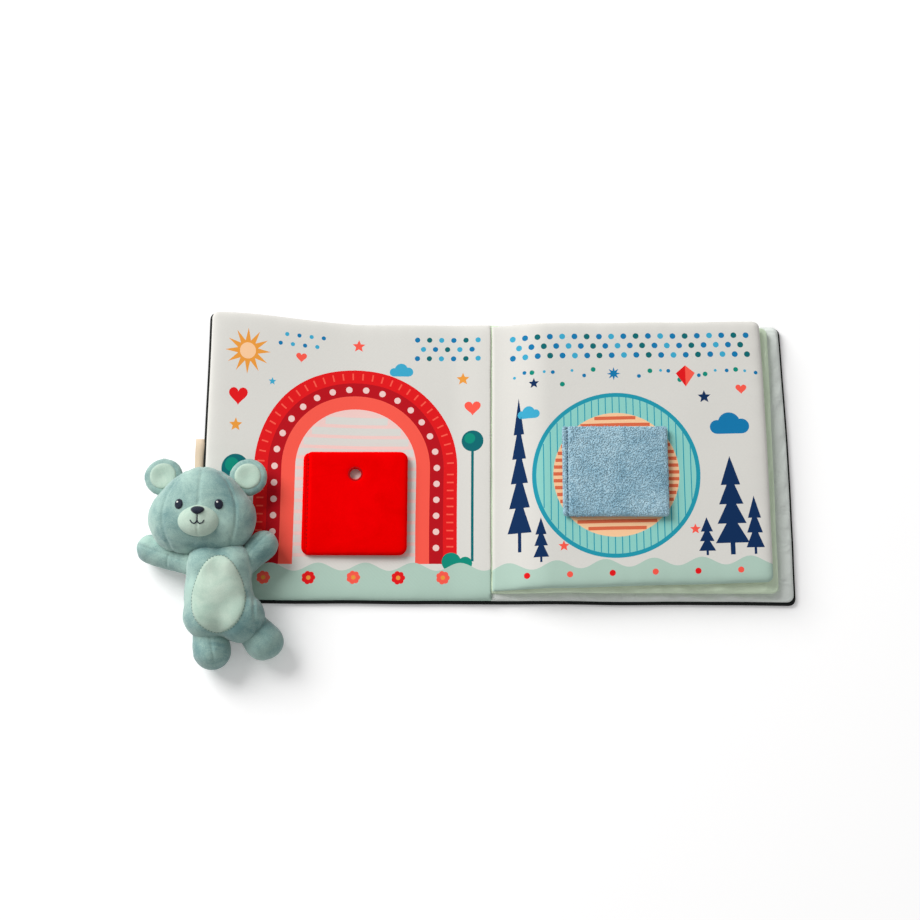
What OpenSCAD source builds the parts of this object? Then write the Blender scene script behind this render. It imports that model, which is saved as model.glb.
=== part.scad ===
// Cloth activity book lying open at its first pages, with a velour flap, a terry flap
// and a soft toy bear tied to the front cover by a tape.
// X runs to the right across the open book, Y up the page and Z out of the table.
// The origin is under the middle of the spine, on the table.

/* [Covers] */
// Width of each cover from its hinge edge to its free edge
cover_w = 210; // [205:1:235]
// Height of the covers
cover_h = 210; // [202:1:240]
// Thickness of a padded cover
cover_t = 7; // [6.4:0.2:7.4]
// Thickness of the dark outer half of a cover
outer_t = 3.4; // [2.8:0.1:3.8]
// Radius of the cover corners
corner_r = 5; // [3:0.5:9]
// Width of dark fabric that shows round the lining
edge_show = 1.2; // [0.8:0.1:2.5]
// Gap between a cover and the spine strip
hinge_gap = 0.3; // [0.2:0.05:0.6]
// Width of the spine strip
spine_w = 5.4; // [4.6:0.2:6.4]
// Thickness of the spine strip
spine_t = 5.8; // [5:0.2:6]

/* [Pages] */
// Width of the upper leaf
leaf_a_w = 194; // [190:1:200]
// Height of the upper leaf
leaf_a_h = 194; // [192:1:200]
// Width of the lower leaf
leaf_b_w = 201; // [200:1:204]
// Height of the lower leaf
leaf_b_h = 201; // [200:1:202]
// Thickness of one padded leaf
leaf_t = 6.4; // [5.6:0.2:6.8]
// Gap between the leaves, and between the lower leaf and the back cover
leaf_gap = 0.5; // [0.4:0.1:0.8]
// Distance from the top edge of the covers down to the top edge of the leaves
leaf_top_drop = 3; // [2:0.5:4]
// Width of the slope round the edge of a padded leaf
rim = 5; // [3:0.5:7]
// Thickness of the sewn edge of a padded leaf
lip_t = 2; // [1.4:0.2:2.6]
// Width of the sewn block that joins the leaves at the spine
bind_w = 9; // [6:1:12]

/* [Flaps] */
// Width of the red velour flap
red_w = 76; // [66:1:80]
// Height of the red velour flap
red_h = 77; // [66:1:80]
// Diameter of the peephole in the red flap
peephole_d = 8; // [6:0.5:12]
// Width of the blue terry flap
blue_w = 76; // [66:1:80]
// Height of the blue terry flap
blue_h = 67; // [60:1:72]
// Thickness of a flap
flap_t = 4; // [3:0.2:4.4]
// Air under the free part of a flap
flap_lift = 0.8; // [0.4:0.1:1.2]
// Width of the sewn strip along the hinge edge of a flap
flap_seam_w = 5; // [4:0.5:8]

/* [Printed pages] */
// Height of a printed field above its page
print_t = 0.3; // [0.2:0.05:0.5]
// Outer radius of the rainbow arch on the left page
arch_r = 74; // [68:1:76]
// Width of each band of the rainbow arch
arch_band = 10; // [8:0.5:11]
// Radius of the striped disc on the right page
disc_r = 57; // [54:1:59]
// Pitch of the stripes on the right page
stripe_pitch = 5; // [4:0.5:7]

/* [Toy and tape] */
// Width of the head of the bear
head_w = 78; // [70:1:82]
// Height of the head of the bear
head_h = 68; // [62:1:72]
// Thickness of the head of the bear
head_t = 43; // [38:1:45]
// Diameter of an ear
ear_d = 29; // [24:1:32]
// Diameter of an arm at the paw
arm_d = 22; // [19:1:24]
// Diameter of a leg at the foot
leg_d = 28; // [25:1:30]
// Thickness of the belly and ear linings
patch_t = 1; // [0.6:0.1:1.5]
// Width of the tape
tape_w = 8; // [6:0.5:9]
// Thickness of the tape
tape_t = 0.8; // [0.6:0.1:1]

/* [Hidden] */

// Facets of circles, and of the balls inside a hull
$fn = 48;
ball_fn = 28;
// Height of the thin plates that a hull joins
skin = 0.02;

// Edges of the covers and of the leaves
cover_x = spine_w / 2 + hinge_gap;
cover_end = cover_x + cover_w;
leaf_x = 0.6;
outer_edge = 1;
lining_lip = 1.2;
leaf_top = cover_h / 2 - leaf_top_drop;
leaf_b_z = cover_t + leaf_gap;
leaf_a_z = leaf_b_z + leaf_t + leaf_gap;
page_top = leaf_a_z + leaf_t;
leaf_a_bottom = leaf_top - leaf_a_h;

// The flat, printable parts of the two open pages
left_x0 = -cover_end + edge_show + rim;
left_x1 = -cover_x - rim;
left_y0 = -cover_h / 2 + edge_show + rim;
left_y1 = cover_h / 2 - edge_show - rim;
right_x0 = leaf_x + rim;
right_x1 = leaf_x + leaf_a_w - rim;
right_y0 = leaf_a_bottom + rim;
right_y1 = leaf_top - rim;

// Places of the flaps: left bottom corner of each
red_x = -140;
red_y = -72;
blue_x = 47.6;
blue_y = -46;
flap_r = 4;
peephole_drop = 17;
peephole_x = red_x + red_w / 2;
peephole_y = red_y + red_h - peephole_drop;

// Centres of the main printed shapes
arch_x = red_x + red_w / 2;
arch_y = -6;
disc_x = blue_x + blue_w / 2;
disc_y = blue_y + blue_h / 2;
panel_r = 45;
wave_h = 3;
wave_l = 34;
left_ground_y = left_y0 + 19;
right_ground_y = right_y0 + 11;
arch_foot = left_ground_y + 2;
flower_r = 5;
flower_pitch = 32;
dot_pitch = 9;

// Where the tape leaves the side seam, and where it reaches the table
tape_x = -cover_end - tape_w - 1;
tape_y = 8;
tape_down_y = -10;
tape_low_z = 0.2;

// Where the toy lies: on the left bottom corner of the front cover, its feet on the table
fit_gap = 0.4;
cover_rest_z = cover_t + print_t + fit_gap;
toy_x = -cover_end + 4;
toy_y = -cover_h / 2 + 60;
head_z = cover_rest_z + head_t / 2;
torso = [
    [toy_x + 5, toy_y - 39, 25, 17],
    [toy_x + 21, toy_y - 39, 25, 17],
    [toy_x + 6, toy_y - 73, 22, 18],
    [toy_x + 29, toy_y - 75, 22, 18]];
ear_spread = head_w * 0.39;
ear_rise = head_h * 0.41;
ear_z = cover_rest_z + 12;
ear_t = 9;
ear_bevel = 4;
muzzle_w = 30;
muzzle_h = 24;
face_y = toy_y - 9;
face_z = cover_rest_z + head_t;
nose_d = 8;
eye_d = 6;
eye_spread = 14;
eye_rise = 10;
belly_r = 25;

// A rectangle with round corners, from its left bottom to its right top corner
module rounded_rect(x0, y0, x1, y1, r) {
    translate([x0 + r, y0]) square([x1 - x0 - 2 * r, y1 - y0]);
    translate([x0, y0 + r]) square([x1 - x0, y1 - y0 - 2 * r]);
    for (x = [x0 + r, x1 - r], y = [y0 + r, y1 - r]) translate([x, y]) circle(r);
}

// A thin plate of that outline, drawn in by inset
module plate(x0, y0, x1, y1, r, z, t, inset = 0) {
    translate([0, 0, z])
        linear_extrude(t)
            rounded_rect(x0 + inset, y0 + inset, x1 - inset, y1 - inset, max(r - inset, 1));
}

// A padded sheet: a sewn lip at mid height that slopes to a flat top and underside
module padded_sheet(x0, y0, x1, y1, r, z, t, lip) {
    hull() {
        plate(x0, y0, x1, y1, r, z + (t - lip) / 2, lip);
        plate(x0, y0, x1, y1, r, z + t - skin, skin, rim);
        plate(x0, y0, x1, y1, r, z, skin, rim / 2);
    }
}

// The dark outer half of a cover
module cover_outer(x0, x1) {
    h = cover_h / 2;
    hull() {
        plate(x0, -h, x1, h, corner_r, outer_edge, outer_t - outer_edge);
        plate(x0, -h, x1, h, corner_r, 0, skin, outer_edge * 1.5);
    }
}

// The padded lining that is sewn to it
module cover_lining(x0, x1) {
    h = cover_h / 2 - edge_show;
    hull() {
        plate(x0, -h, x1, h, corner_r, outer_t, lining_lip);
        plate(x0, -h, x1, h, corner_r, cover_t - skin, skin, rim);
    }
}

module front_cover_outer() {
    color([0.16, 0.18, 0.18]) cover_outer(-cover_end, -cover_x);
}

module front_cover_lining() {
    color([0.88, 0.87, 0.85])
        difference() {
            cover_lining(-cover_end + edge_show, -cover_x);
            tape_stub(fit = 0.1);
        }
}

module spine_strip() {
    color([0.16, 0.18, 0.18])
        translate([-spine_w / 2, -cover_h / 2, 0]) cube([spine_w, cover_h, spine_t]);
}

module back_cover_outer() {
    color([0.16, 0.18, 0.18]) cover_outer(cover_x, cover_end);
}

module back_cover_lining() {
    color([0.77, 0.8, 0.78]) cover_lining(cover_x, cover_end - edge_show);
}

// Two padded leaves, sewn together along the spine
module pages() {
    color([0.87, 0.88, 0.85]) {
        padded_sheet(leaf_x, leaf_top - leaf_b_h, leaf_x + leaf_b_w, leaf_top, corner_r,
            leaf_b_z, leaf_t, lip_t);
        padded_sheet(leaf_x, leaf_a_bottom, leaf_x + leaf_a_w, leaf_top, corner_r,
            leaf_a_z, leaf_t, lip_t);
        translate([leaf_x + rim, leaf_a_bottom + rim, leaf_b_z + leaf_t / 2])
            cube([bind_w, leaf_a_h - 2 * rim, leaf_t + leaf_gap]);
    }
}

// A padded flap, sewn down along its left edge
module flap(x, y, w, h, z) {
    plate(x, y, x + flap_seam_w, y + h, 1.5, z, flap_lift);
    hull() {
        plate(x, y, x + w, y + h, flap_r, z + flap_lift, flap_t * 0.6);
        plate(x, y, x + w, y + h, flap_r, z + flap_lift + flap_t - skin, skin, 2);
    }
}

module red_velour_flap() {
    z = cover_t + print_t;
    color([0.93, 0.03, 0.02])
        difference() {
            flap(red_x, red_y, red_w, red_h, z);
            translate([peephole_x, peephole_y, z - 1])
                cylinder(d = peephole_d, h = flap_lift + flap_t + 2);
        }
}

module blue_terry_flap() {
    color([0.5, 0.66, 0.79]) flap(blue_x, blue_y, blue_w, blue_h, page_top + print_t);
}

// A star with n points
module star(x, y, r, n = 5) {
    translate([x, y])
        polygon([for (i = [0:2 * n - 1])
            let (q = i % 2 == 0 ? r : r * 0.45, a = 90 + i * 180 / n) [q * cos(a), q * sin(a)]]);
}

// A heart of width 2r
module heart(x, y, r) {
    translate([x, y]) {
        rotate(45) translate([-r * 0.7, -r * 0.7]) square(r * 1.4);
        for (s = [-1, 1]) translate([s * r * 0.5, r * 0.5]) circle(r * 0.7);
    }
}

// A cloud of width about 3r on a flat base
module cloud(x, y, r) {
    translate([x, y]) {
        circle(r);
        translate([-r * 1.1, -r * 0.35]) circle(r * 0.65);
        translate([r * 1.1, -r * 0.3]) circle(r * 0.7);
        translate([-r * 1.1, -r]) square([r * 2.2, r * 0.8]);
    }
}

// A daisy: a ring of petals with an open middle
module daisy(x, y, r, petals = 7) {
    translate([x, y])
        difference() {
            for (i = [0:petals - 1])
                rotate(i * 360 / petals) translate([r * 0.6, 0]) circle(r * 0.42);
            circle(r * 0.28);
        }
}

// A tree with a round crown on a straight trunk
module round_tree(x, y, h, r) {
    translate([x - r * 0.12, y]) square([r * 0.24, h - r]);
    translate([x, y + h - r]) circle(r);
}

// A fir tree of stacked triangles on a short trunk
module fir_tree(x, y, h, w, tiers) {
    step = h * 0.8 / tiers;
    translate([x - w * 0.07, y]) square([w * 0.14, h * 0.3]);
    for (i = [0:tiers - 1]) {
        half = w / 2 * (1 - i * 0.14);
        base = y + h * 0.12 + i * step;
        polygon([[x - half, base], [x + half, base], [x, base + step * 1.5]]);
    }
}

// A band of ground whose upper edge is a wave
module ground(x0, x1, y0, y1) {
    n = 60;
    polygon(concat([[x1, y0], [x0, y0]],
        [for (i = [0:n])
            let (x = x0 + (x1 - x0) * i / n) [x, y1 + wave_h * sin(360 * x / wave_l)]]));
}

// An arch: half a disc on two straight sides that reach down to the ground
module arch_area(r) {
    intersection() {
        translate([arch_x, arch_y]) circle(r, $fn = 96);
        translate([arch_x - r, arch_y]) square([2 * r, r]);
    }
    translate([arch_x - r, arch_foot]) square([2 * r, arch_y - arch_foot]);
}

// One band of the arch, counted from outside
module arch_band_area(i) {
    difference() {
        arch_area(arch_r - i * arch_band);
        arch_area(arch_r - (i + 1) * arch_band);
    }
}

// Dots along the middle of the second band of the arch
module arch_dots() {
    r = arch_r - 1.5 * arch_band;
    for (a = [0:12:180])
        translate([arch_x + r * cos(a), arch_y + r * sin(a)]) circle(arch_band * 0.24, $fn = 24);
}

// Stripes of one pitch: horizontal ones of length w, from y0 to y1
module stripes(x, w, y0, y1, pitch) {
    for (y = [y0:pitch:y1]) translate([x, y]) square([w, pitch * 0.5]);
}

// Rows of dots, each row set off by half a pitch
module dot_field(x0, x1, y0, rows, pitch, r) {
    for (j = [0:rows - 1], x = [x0 + (j % 2) * pitch / 2:pitch:x1])
        translate([x, y0 + j * pitch * 0.8]) circle(r, $fn = 24);
}

// Flowers that stand in the ground of the left page, either side of the middle of the arch
module left_flowers() {
    for (i = [-2:2]) daisy(arch_x + i * flower_pitch, left_ground_y - 8, flower_r);
}

// A printed field on the left page, from its flat outline
module left_field() {
    translate([0, 0, cover_t])
        linear_extrude(print_t)
            intersection() {
                translate([left_x0, left_y0]) square([left_x1 - left_x0, left_y1 - left_y0]);
                children();
            }
}

// A printed field on the right page
module right_field() {
    translate([0, 0, page_top])
        linear_extrude(print_t)
            intersection() {
                translate([right_x0, right_y0])
                    square([right_x1 - right_x0, right_y1 - right_y0]);
                children();
            }
}

module left_print_red() {
    color([0.88, 0.08, 0.1])
        left_field() {
            arch_band_area(0);
            heart(left_x0 + 17, left_y1 - 55, 6);
            left_flowers();
        }
}

module left_print_dark_red() {
    color([0.72, 0.02, 0.08])
        left_field() difference() {
            arch_band_area(1);
            arch_dots();
        }
}

module left_print_coral() {
    color([1, 0.36, 0.3])
        left_field() {
            arch_band_area(2);
            heart(left_x1 - 9, left_y1 - 59, 5);
            star(arch_x, left_y1 - 12, 5);
        }
}

module left_print_pink() {
    color([0.98, 0.8, 0.78])
        left_field() difference() {
            arch_area(arch_r - 3 * arch_band);
            stripes(arch_x - arch_r, 2 * arch_r, arch_foot, arch_y + arch_r, stripe_pitch * 1.6);
        }
}

module left_print_orange() {
    color([0.95, 0.6, 0.25])
        left_field() {
            star(left_x0 + 23, left_y1 - 23, 17, 12);
            star(left_x0 + 16, left_y1 - 76, 5);
            star(left_x1 - 16, left_y1 - 37, 5);
        }
}

module left_print_blue() {
    color([0.1, 0.56, 0.72])
        left_field() {
            dot_field(left_x1 - 50, left_x1 - 4, left_y1 - 21, 3, dot_pitch, 2);
            dot_field(left_x0 + 47, left_x0 + 79, left_y1 - 15, 2, dot_pitch, 1.6);
        }
}

module left_print_teal() {
    color([0, 0.42, 0.44])
        left_field() {
            round_tree(left_x0 + 17, left_ground_y + wave_h + 1, 78, 10);
            round_tree(left_x1 - 9, left_ground_y + wave_h + 1, 98, 8);
        }
}

module left_print_pale_green() {
    color([0.7, 0.83, 0.77])
        left_field() difference() {
            ground(left_x0, left_x1, left_y0, left_ground_y);
            left_flowers();
            arch_area(arch_r);
        }
}

// Narrow upright stripes over the disc of the right page
module disc_stripes() {
    for (x = [disc_x - disc_r:stripe_pitch:disc_x + disc_r])
        translate([x, disc_y - disc_r]) square([stripe_pitch * 0.16, 2 * disc_r]);
}

module disc_area(r) {
    translate([disc_x, disc_y]) circle(r, $fn = 96);
}

module right_print_turquoise() {
    color([0.55, 0.83, 0.79])
        right_field() difference() {
            disc_area(disc_r);
            disc_area(panel_r);
            disc_stripes();
        }
}

module right_print_dark_turquoise() {
    color([0.12, 0.6, 0.68])
        right_field() {
            difference() {
                disc_area(disc_r + 3);
                disc_area(disc_r);
            }
            difference() {
                intersection() {
                    disc_area(disc_r);
                    disc_stripes();
                }
                disc_area(panel_r);
            }
        }
}

module right_print_orange() {
    color([0.9, 0.45, 0.3])
        right_field() intersection() {
            disc_area(panel_r);
            stripes(disc_x - panel_r, 2 * panel_r, disc_y - panel_r, disc_y + panel_r,
                stripe_pitch);
        }
}

module right_print_cream() {
    color([1, 0.82, 0.64])
        right_field() difference() {
            disc_area(panel_r);
            stripes(disc_x - panel_r, 2 * panel_r, disc_y - panel_r, disc_y + panel_r,
                stripe_pitch);
        }
}

module right_print_navy() {
    color([0.02, 0.2, 0.37])
        right_field() {
            fir_tree(right_x0 + 11, right_ground_y + 10, 112, 17, 5);
            fir_tree(right_x1 - 23, right_ground_y + 4, 70, 24, 4);
            fir_tree(right_x1 - 7, right_ground_y + 4, 40, 13, 3);
            star(right_x1 - 39, right_y1 - 53, 5);
            star(right_x0 + 22, right_y1 - 41, 4);
        }
}

module right_print_blue() {
    color([0.1, 0.5, 0.7])
        right_field() {
            dot_field(right_x0 + 7, right_x1 - 4, right_y1 - 21, 3, dot_pitch, 2.2);
            cloud(right_x1 - 22, right_y1 - 73, 8);
            star(disc_x, right_y1 - 35, 5, 8);
        }
}

module right_print_pale_green() {
    color([0.7, 0.83, 0.77])
        right_field() ground(right_x0, right_x1, right_y0, right_ground_y);
}

module right_print_coral() {
    color([0.92, 0.2, 0.18])
        right_field() {
            star(right_x0 + 27, right_y0 + 29, 5);
            star(right_x1 - 45, right_y0 + 31, 5);
            heart(right_x1 - 12, right_y1 - 47, 4);
        }
}

// The end of the tape inside the side seam of the front cover
module tape_stub(fit = 0) {
    translate([tape_x, tape_y - fit, outer_t])
        cube([tape_w + 12, tape_w + 2 * fit, tape_t + fit]);
}

// One flat length of tape from one cross line to another, each given as x, y and z
module tape_length(a, b) {
    hull() for (p = [a, b]) translate(p) cube([tape_w, skin, tape_t]);
}

// The tape: out of the seam, folded over and down beside the cover to the back of the bear
module tether_tape() {
    fold_z = outer_t + tape_t;
    fold_top = [tape_x, tape_y + tape_w, fold_z];
    fold_bottom = [tape_x, tape_y, fold_z];
    down = [tape_x, tape_down_y, tape_low_z];
    under_head = [tape_x, toy_y - 22, tape_low_z];
    back = [tape_x + 4, toy_y - 42, cover_rest_z + 8];
    color([0.88, 0.82, 0.74])
        difference() {
            union() {
                tape_stub();
                tape_length(fold_top, fold_bottom);
                tape_length(fold_bottom, down);
                tape_length(down, under_head);
                tape_length(under_head, back);
            }
            torso_shape();
            head_shape();
            left_arm_shape();
        }
}

// Room that the front cover and the table take from the toy
module under_toy() {
    translate([-cover_end - fit_gap, -cover_h / 2 - fit_gap, -1])
        cube([cover_w, cover_h, cover_rest_z + 1]);
    translate([toy_x - 100, toy_y - 150, -40]) cube([220, 250, 40]);
}

// Balls joined in one stuffed shape, each given as x, y, z and radius
module stuffed(balls) {
    hull() for (b = balls) translate([b[0], b[1], b[2]]) sphere(b[3], $fn = ball_fn);
}

// The head: two balls beside each other, flattened to the thickness of the head
module head_shape() {
    difference() {
        translate([toy_x, toy_y, head_z])
            scale([1, head_h / (head_w * 0.86), head_t / (head_w * 0.86)])
                hull() for (s = [-1, 1])
                    translate([s * head_w * 0.07, 0, 0]) sphere(head_w * 0.43, $fn = ball_fn);
        under_toy();
    }
}

module torso_shape() {
    difference() {
        stuffed(torso);
        under_toy();
    }
}

module bear_head() {
    color([0.55, 0.69, 0.65]) head_shape();
}

module bear_body() {
    color([0.55, 0.69, 0.65])
        difference() {
            torso_shape();
            head_shape();
        }
}

// A round ear that stands out of the head, side -1 for left and 1 for right
module ear_shape(side) {
    translate([toy_x + side * ear_spread, toy_y + ear_rise, ear_z])
        hull() {
            cylinder(d = ear_d, h = ear_t * 0.3, center = true, $fn = ball_fn);
            cylinder(d = ear_d - ear_bevel, h = ear_t, center = true, $fn = ball_fn);
        }
}

module ear(side) {
    color([0.55, 0.69, 0.65])
        difference() {
            ear_shape(side);
            head_shape();
            under_toy();
        }
}

// The pale lining laid on the front of an ear
module ear_lining(side) {
    color([0.73, 0.83, 0.77])
        difference() {
            translate([toy_x + side * ear_spread, toy_y + ear_rise, ear_z + ear_t / 2])
                cylinder(d = ear_d * 0.66, h = patch_t);
            head_shape();
        }
}

module bear_left_ear() ear(-1);
module bear_right_ear() ear(1);
module bear_left_ear_lining() ear_lining(-1);
module bear_right_ear_lining() ear_lining(1);

// The muzzle: a low dome on the face
module muzzle_shape() {
    translate([toy_x, face_y, face_z - 7])
        scale([1, muzzle_h / muzzle_w, 0.72]) sphere(d = muzzle_w, $fn = ball_fn);
}

module bear_muzzle() {
    color([0.73, 0.83, 0.77])
        difference() {
            muzzle_shape();
            head_shape();
        }
}

module bear_nose() {
    color([0.06, 0.12, 0.2])
        difference() {
            translate([toy_x, face_y + nose_d / 2, face_z - 4])
                scale([1, 0.7, 1]) cylinder(d = nose_d, h = 9);
            muzzle_shape();
            head_shape();
        }
}

module bear_eyes() {
    color([0.06, 0.12, 0.2])
        difference() {
            for (s = [-1, 1])
                translate([toy_x + s * eye_spread, face_y + eye_rise, face_z - 4])
                    cylinder(d = eye_d, h = 4);
            head_shape();
        }
}

module bear_belly_patch() {
    color([0.73, 0.83, 0.77])
        difference() {
            intersection() {
                translate([0, 0, patch_t]) torso_shape();
                translate([toy_x + 15, toy_y - 60, 30])
                    scale([0.8, 1, 1]) cylinder(r = belly_r, h = 30);
            }
            torso_shape();
            head_shape();
        }
}

// Arms from the shoulders towards the head
module left_arm_shape() {
    stuffed([
        [toy_x - 8, toy_y - 36, 22, arm_d * 0.42],
        [toy_x - 38, toy_y - 24, 13, arm_d / 2]]);
}

module right_arm_shape() {
    stuffed([
        [toy_x + 30, toy_y - 37, 23, arm_d * 0.42],
        [toy_x + 43, toy_y - 22, 20, arm_d / 2]]);
}

module arm_cuts() {
    torso_shape();
    head_shape();
    under_toy();
}

module bear_left_arm() {
    color([0.55, 0.69, 0.65])
        difference() {
            left_arm_shape();
            arm_cuts();
        }
}

module bear_right_arm() {
    color([0.55, 0.69, 0.65])
        difference() {
            right_arm_shape();
            arm_cuts();
        }
}

module bear_left_leg() {
    color([0.55, 0.69, 0.65])
        difference() {
            stuffed([
                [toy_x + 6, toy_y - 80, 18, leg_d * 0.42],
                [toy_x + 9, toy_y - 97, 14, leg_d / 2]]);
            torso_shape();
            under_toy();
        }
}

module bear_right_leg() {
    color([0.55, 0.69, 0.65])
        difference() {
            stuffed([
                [toy_x + 34, toy_y - 78, 18, leg_d * 0.42],
                [toy_x + 45, toy_y - 90, 14, leg_d / 2]]);
            torso_shape();
            under_toy();
        }
}

front_cover_outer();
front_cover_lining();
spine_strip();
pages();
back_cover_outer();
back_cover_lining();
red_velour_flap();
blue_terry_flap();
left_print_red();
left_print_dark_red();
left_print_coral();
left_print_pink();
left_print_orange();
left_print_blue();
left_print_teal();
left_print_pale_green();
right_print_turquoise();
right_print_dark_turquoise();
right_print_orange();
right_print_cream();
right_print_navy();
right_print_blue();
right_print_pale_green();
right_print_coral();
tether_tape();
bear_head();
bear_muzzle();
bear_nose();
bear_eyes();
bear_left_ear();
bear_right_ear();
bear_left_ear_lining();
bear_right_ear_lining();
bear_body();
bear_belly_patch();
bear_left_arm();
bear_right_arm();
bear_left_leg();
bear_right_leg();
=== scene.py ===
"""Dresses a cloth activity book: padded printed cloth, pile flaps and a stuffed bear."""

import logging
import math
from dataclasses import dataclass, field
from enum import Enum
from typing import Callable, Sequence

import bmesh
import bpy
from mathutils import Matrix, Vector, noise
from mathutils.bvhtree import BVHTree
from mathutils.geometry import delaunay_2d_cdt


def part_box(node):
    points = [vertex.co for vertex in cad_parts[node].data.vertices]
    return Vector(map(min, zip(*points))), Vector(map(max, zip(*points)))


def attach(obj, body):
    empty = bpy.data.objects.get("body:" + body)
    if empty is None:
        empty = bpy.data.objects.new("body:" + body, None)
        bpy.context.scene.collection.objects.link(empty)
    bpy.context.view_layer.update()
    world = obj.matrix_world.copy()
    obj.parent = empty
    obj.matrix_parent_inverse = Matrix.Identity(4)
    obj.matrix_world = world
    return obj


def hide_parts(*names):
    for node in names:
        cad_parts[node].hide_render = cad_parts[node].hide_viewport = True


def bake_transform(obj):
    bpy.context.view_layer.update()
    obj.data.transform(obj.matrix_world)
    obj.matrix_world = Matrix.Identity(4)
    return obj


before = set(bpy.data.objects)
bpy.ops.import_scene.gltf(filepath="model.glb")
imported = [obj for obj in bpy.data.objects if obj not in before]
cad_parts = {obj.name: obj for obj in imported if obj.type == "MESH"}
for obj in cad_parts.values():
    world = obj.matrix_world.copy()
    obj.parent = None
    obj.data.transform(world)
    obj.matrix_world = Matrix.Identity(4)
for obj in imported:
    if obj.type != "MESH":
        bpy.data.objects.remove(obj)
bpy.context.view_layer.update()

MM = 0.001
LOG = logging.getLogger("cloth_book")

Point = tuple[float, float]
Triple = tuple[float, float, float]
Loop = list[Point]
HeightField = Callable[[float, float], float]
Layer = Callable[[float, float], tuple[float, float]]
Shift = Callable[[float, float], Triple]
Object = bpy.types.Object
Material = bpy.types.Material
Mesh = bpy.types.Mesh
Node = bpy.types.Node
NodeTree = bpy.types.NodeTree
Socket = bpy.types.NodeSocket
Shell = bmesh.types.BMesh
Vert = bmesh.types.BMVert


class Body(Enum):
    """The moving bodies of the book."""

    FRONT = "front_cover"
    PAGES = "pages"
    BACK = "back_cover"


class Side(Enum):
    """The side of a pad where its cloth runs on into the spine."""

    NONE = 0
    LEFT = -1
    RIGHT = 1


class Ink(Enum):
    """Colours of the cloth and of its print, as 8-bit sRGB."""

    PAPER = (223, 221, 215)
    LEAF = (222, 240, 212)
    BACK = (226, 232, 227)
    RED = (232, 16, 22)
    DARK_RED = (190, 4, 22)
    CORAL = (255, 92, 76)
    PINK = (246, 208, 202)
    ORANGE = (240, 158, 62)
    BLUE = (10, 122, 176)
    SKY = (60, 172, 208)
    TEAL = (0, 106, 112)
    GREEN = (0, 142, 122)
    PALE_GREEN = (180, 207, 193)
    TURQUOISE = (144, 212, 202)
    DEEP_TURQUOISE = (30, 154, 176)
    STRIPE_ORANGE = (226, 108, 72)
    CREAM = (255, 206, 160)
    NAVY = (2, 44, 90)

    @property
    def linear(self) -> tuple[float, float, float, float]:
        """The colour in scene-linear values, with alpha 1."""
        return srgb(*self.value)


def srgb(red: float, green: float, blue: float) -> tuple[float, float, float, float]:
    """Turns an 8-bit sRGB colour into scene-linear values.

    Args:
        red: Red, from 0 to 255.
        green: Green, from 0 to 255.
        blue: Blue, from 0 to 255.

    Returns:
        Linear red, green, blue and an alpha of 1.
    """

    def one(channel: float) -> float:
        """One channel in linear light."""
        value = channel / 255
        return value / 12.92 if value <= 0.04045 else ((value + 0.055) / 1.055) ** 2.4

    return (one(red), one(green), one(blue), 1.0)


@dataclass(frozen=True)
class Box:
    """The box of a CAD node in millimetres.

    Attributes:
        x0: Its left side.
        y0: Its lower side.
        z0: Its foot.
        x1: Its right side.
        y1: Its upper side.
        z1: Its top.
    """

    x0: float
    y0: float
    z0: float
    x1: float
    y1: float
    z1: float

    @classmethod
    def of(cls, node: str) -> "Box":
        """Reads the box of a node from the frame.

        Args:
            node: The name of the CAD node.

        Returns:
            Its box.
        """
        low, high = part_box(node)
        return cls(*(v / MM for v in low), *(v / MM for v in high))

    @property
    def centre(self) -> Vector:
        """The middle of the box."""
        return Vector((self.x0 + self.x1, self.y0 + self.y1, self.z0 + self.z1)) / 2


def box_of(node: str) -> Box:
    """A dataclass field that starts as the box of a CAD node."""
    return field(default_factory=lambda: Box.of(node))


# Plain sums and the shapes that the print is made of


def smooth(value: float, low: float, high: float) -> float:
    """A smooth step from 0 to 1.

    Args:
        value: What is looked at.
        low: Where the step is 0.
        high: Where the step is 1.

    Returns:
        The step at the value.
    """
    t = min(max((value - low) / (high - low), 0.0), 1.0)
    return t * t * (3 - 2 * t)


def wobble(x: float, y: float, z: float = 0.0) -> float:
    """Smooth noise from about -1 to 1, the same on each run."""
    return noise.noise(Vector((x, y, z)))


def circle(x: float, y: float, r: float, points: int = 0) -> Loop:
    """A circle as a loop.

    Args:
        x: Its middle along X.
        y: Its middle along Y.
        r: Its radius.
        points: How many points it has, or 0 for one in about each 2 mm.

    Returns:
        The loop.
    """
    count = points or max(12, round(math.tau * r / 2))
    return [(x + r * math.cos(math.tau * i / count), y + r * math.sin(math.tau * i / count))
            for i in range(count)]


def resampled(loop: Sequence[Point], step: Callable[[Point, Point], float]) -> Loop:
    """Adds points along the sides of a loop.

    Args:
        loop: The corners of a closed outline.
        step: Gives the longest piece that may be left of a side between two corners.

    Returns:
        The outline with its sides cut up.
    """
    result: Loop = []
    for (ax, ay), (bx, by) in zip(loop, [*loop[1:], loop[0]]):
        longest = step((ax, ay), (bx, by))
        count = max(1, math.ceil(math.hypot(bx - ax, by - ay) / longest))
        result += [(ax + (bx - ax) * i / count, ay + (by - ay) * i / count)
                   for i in range(count)]
    return result


def rectangle(x0: float, y0: float, x1: float, y1: float) -> Loop:
    """A rectangle from its left bottom to its right top corner."""
    return [(x0, y0), (x1, y0), (x1, y1), (x0, y1)]


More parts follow.
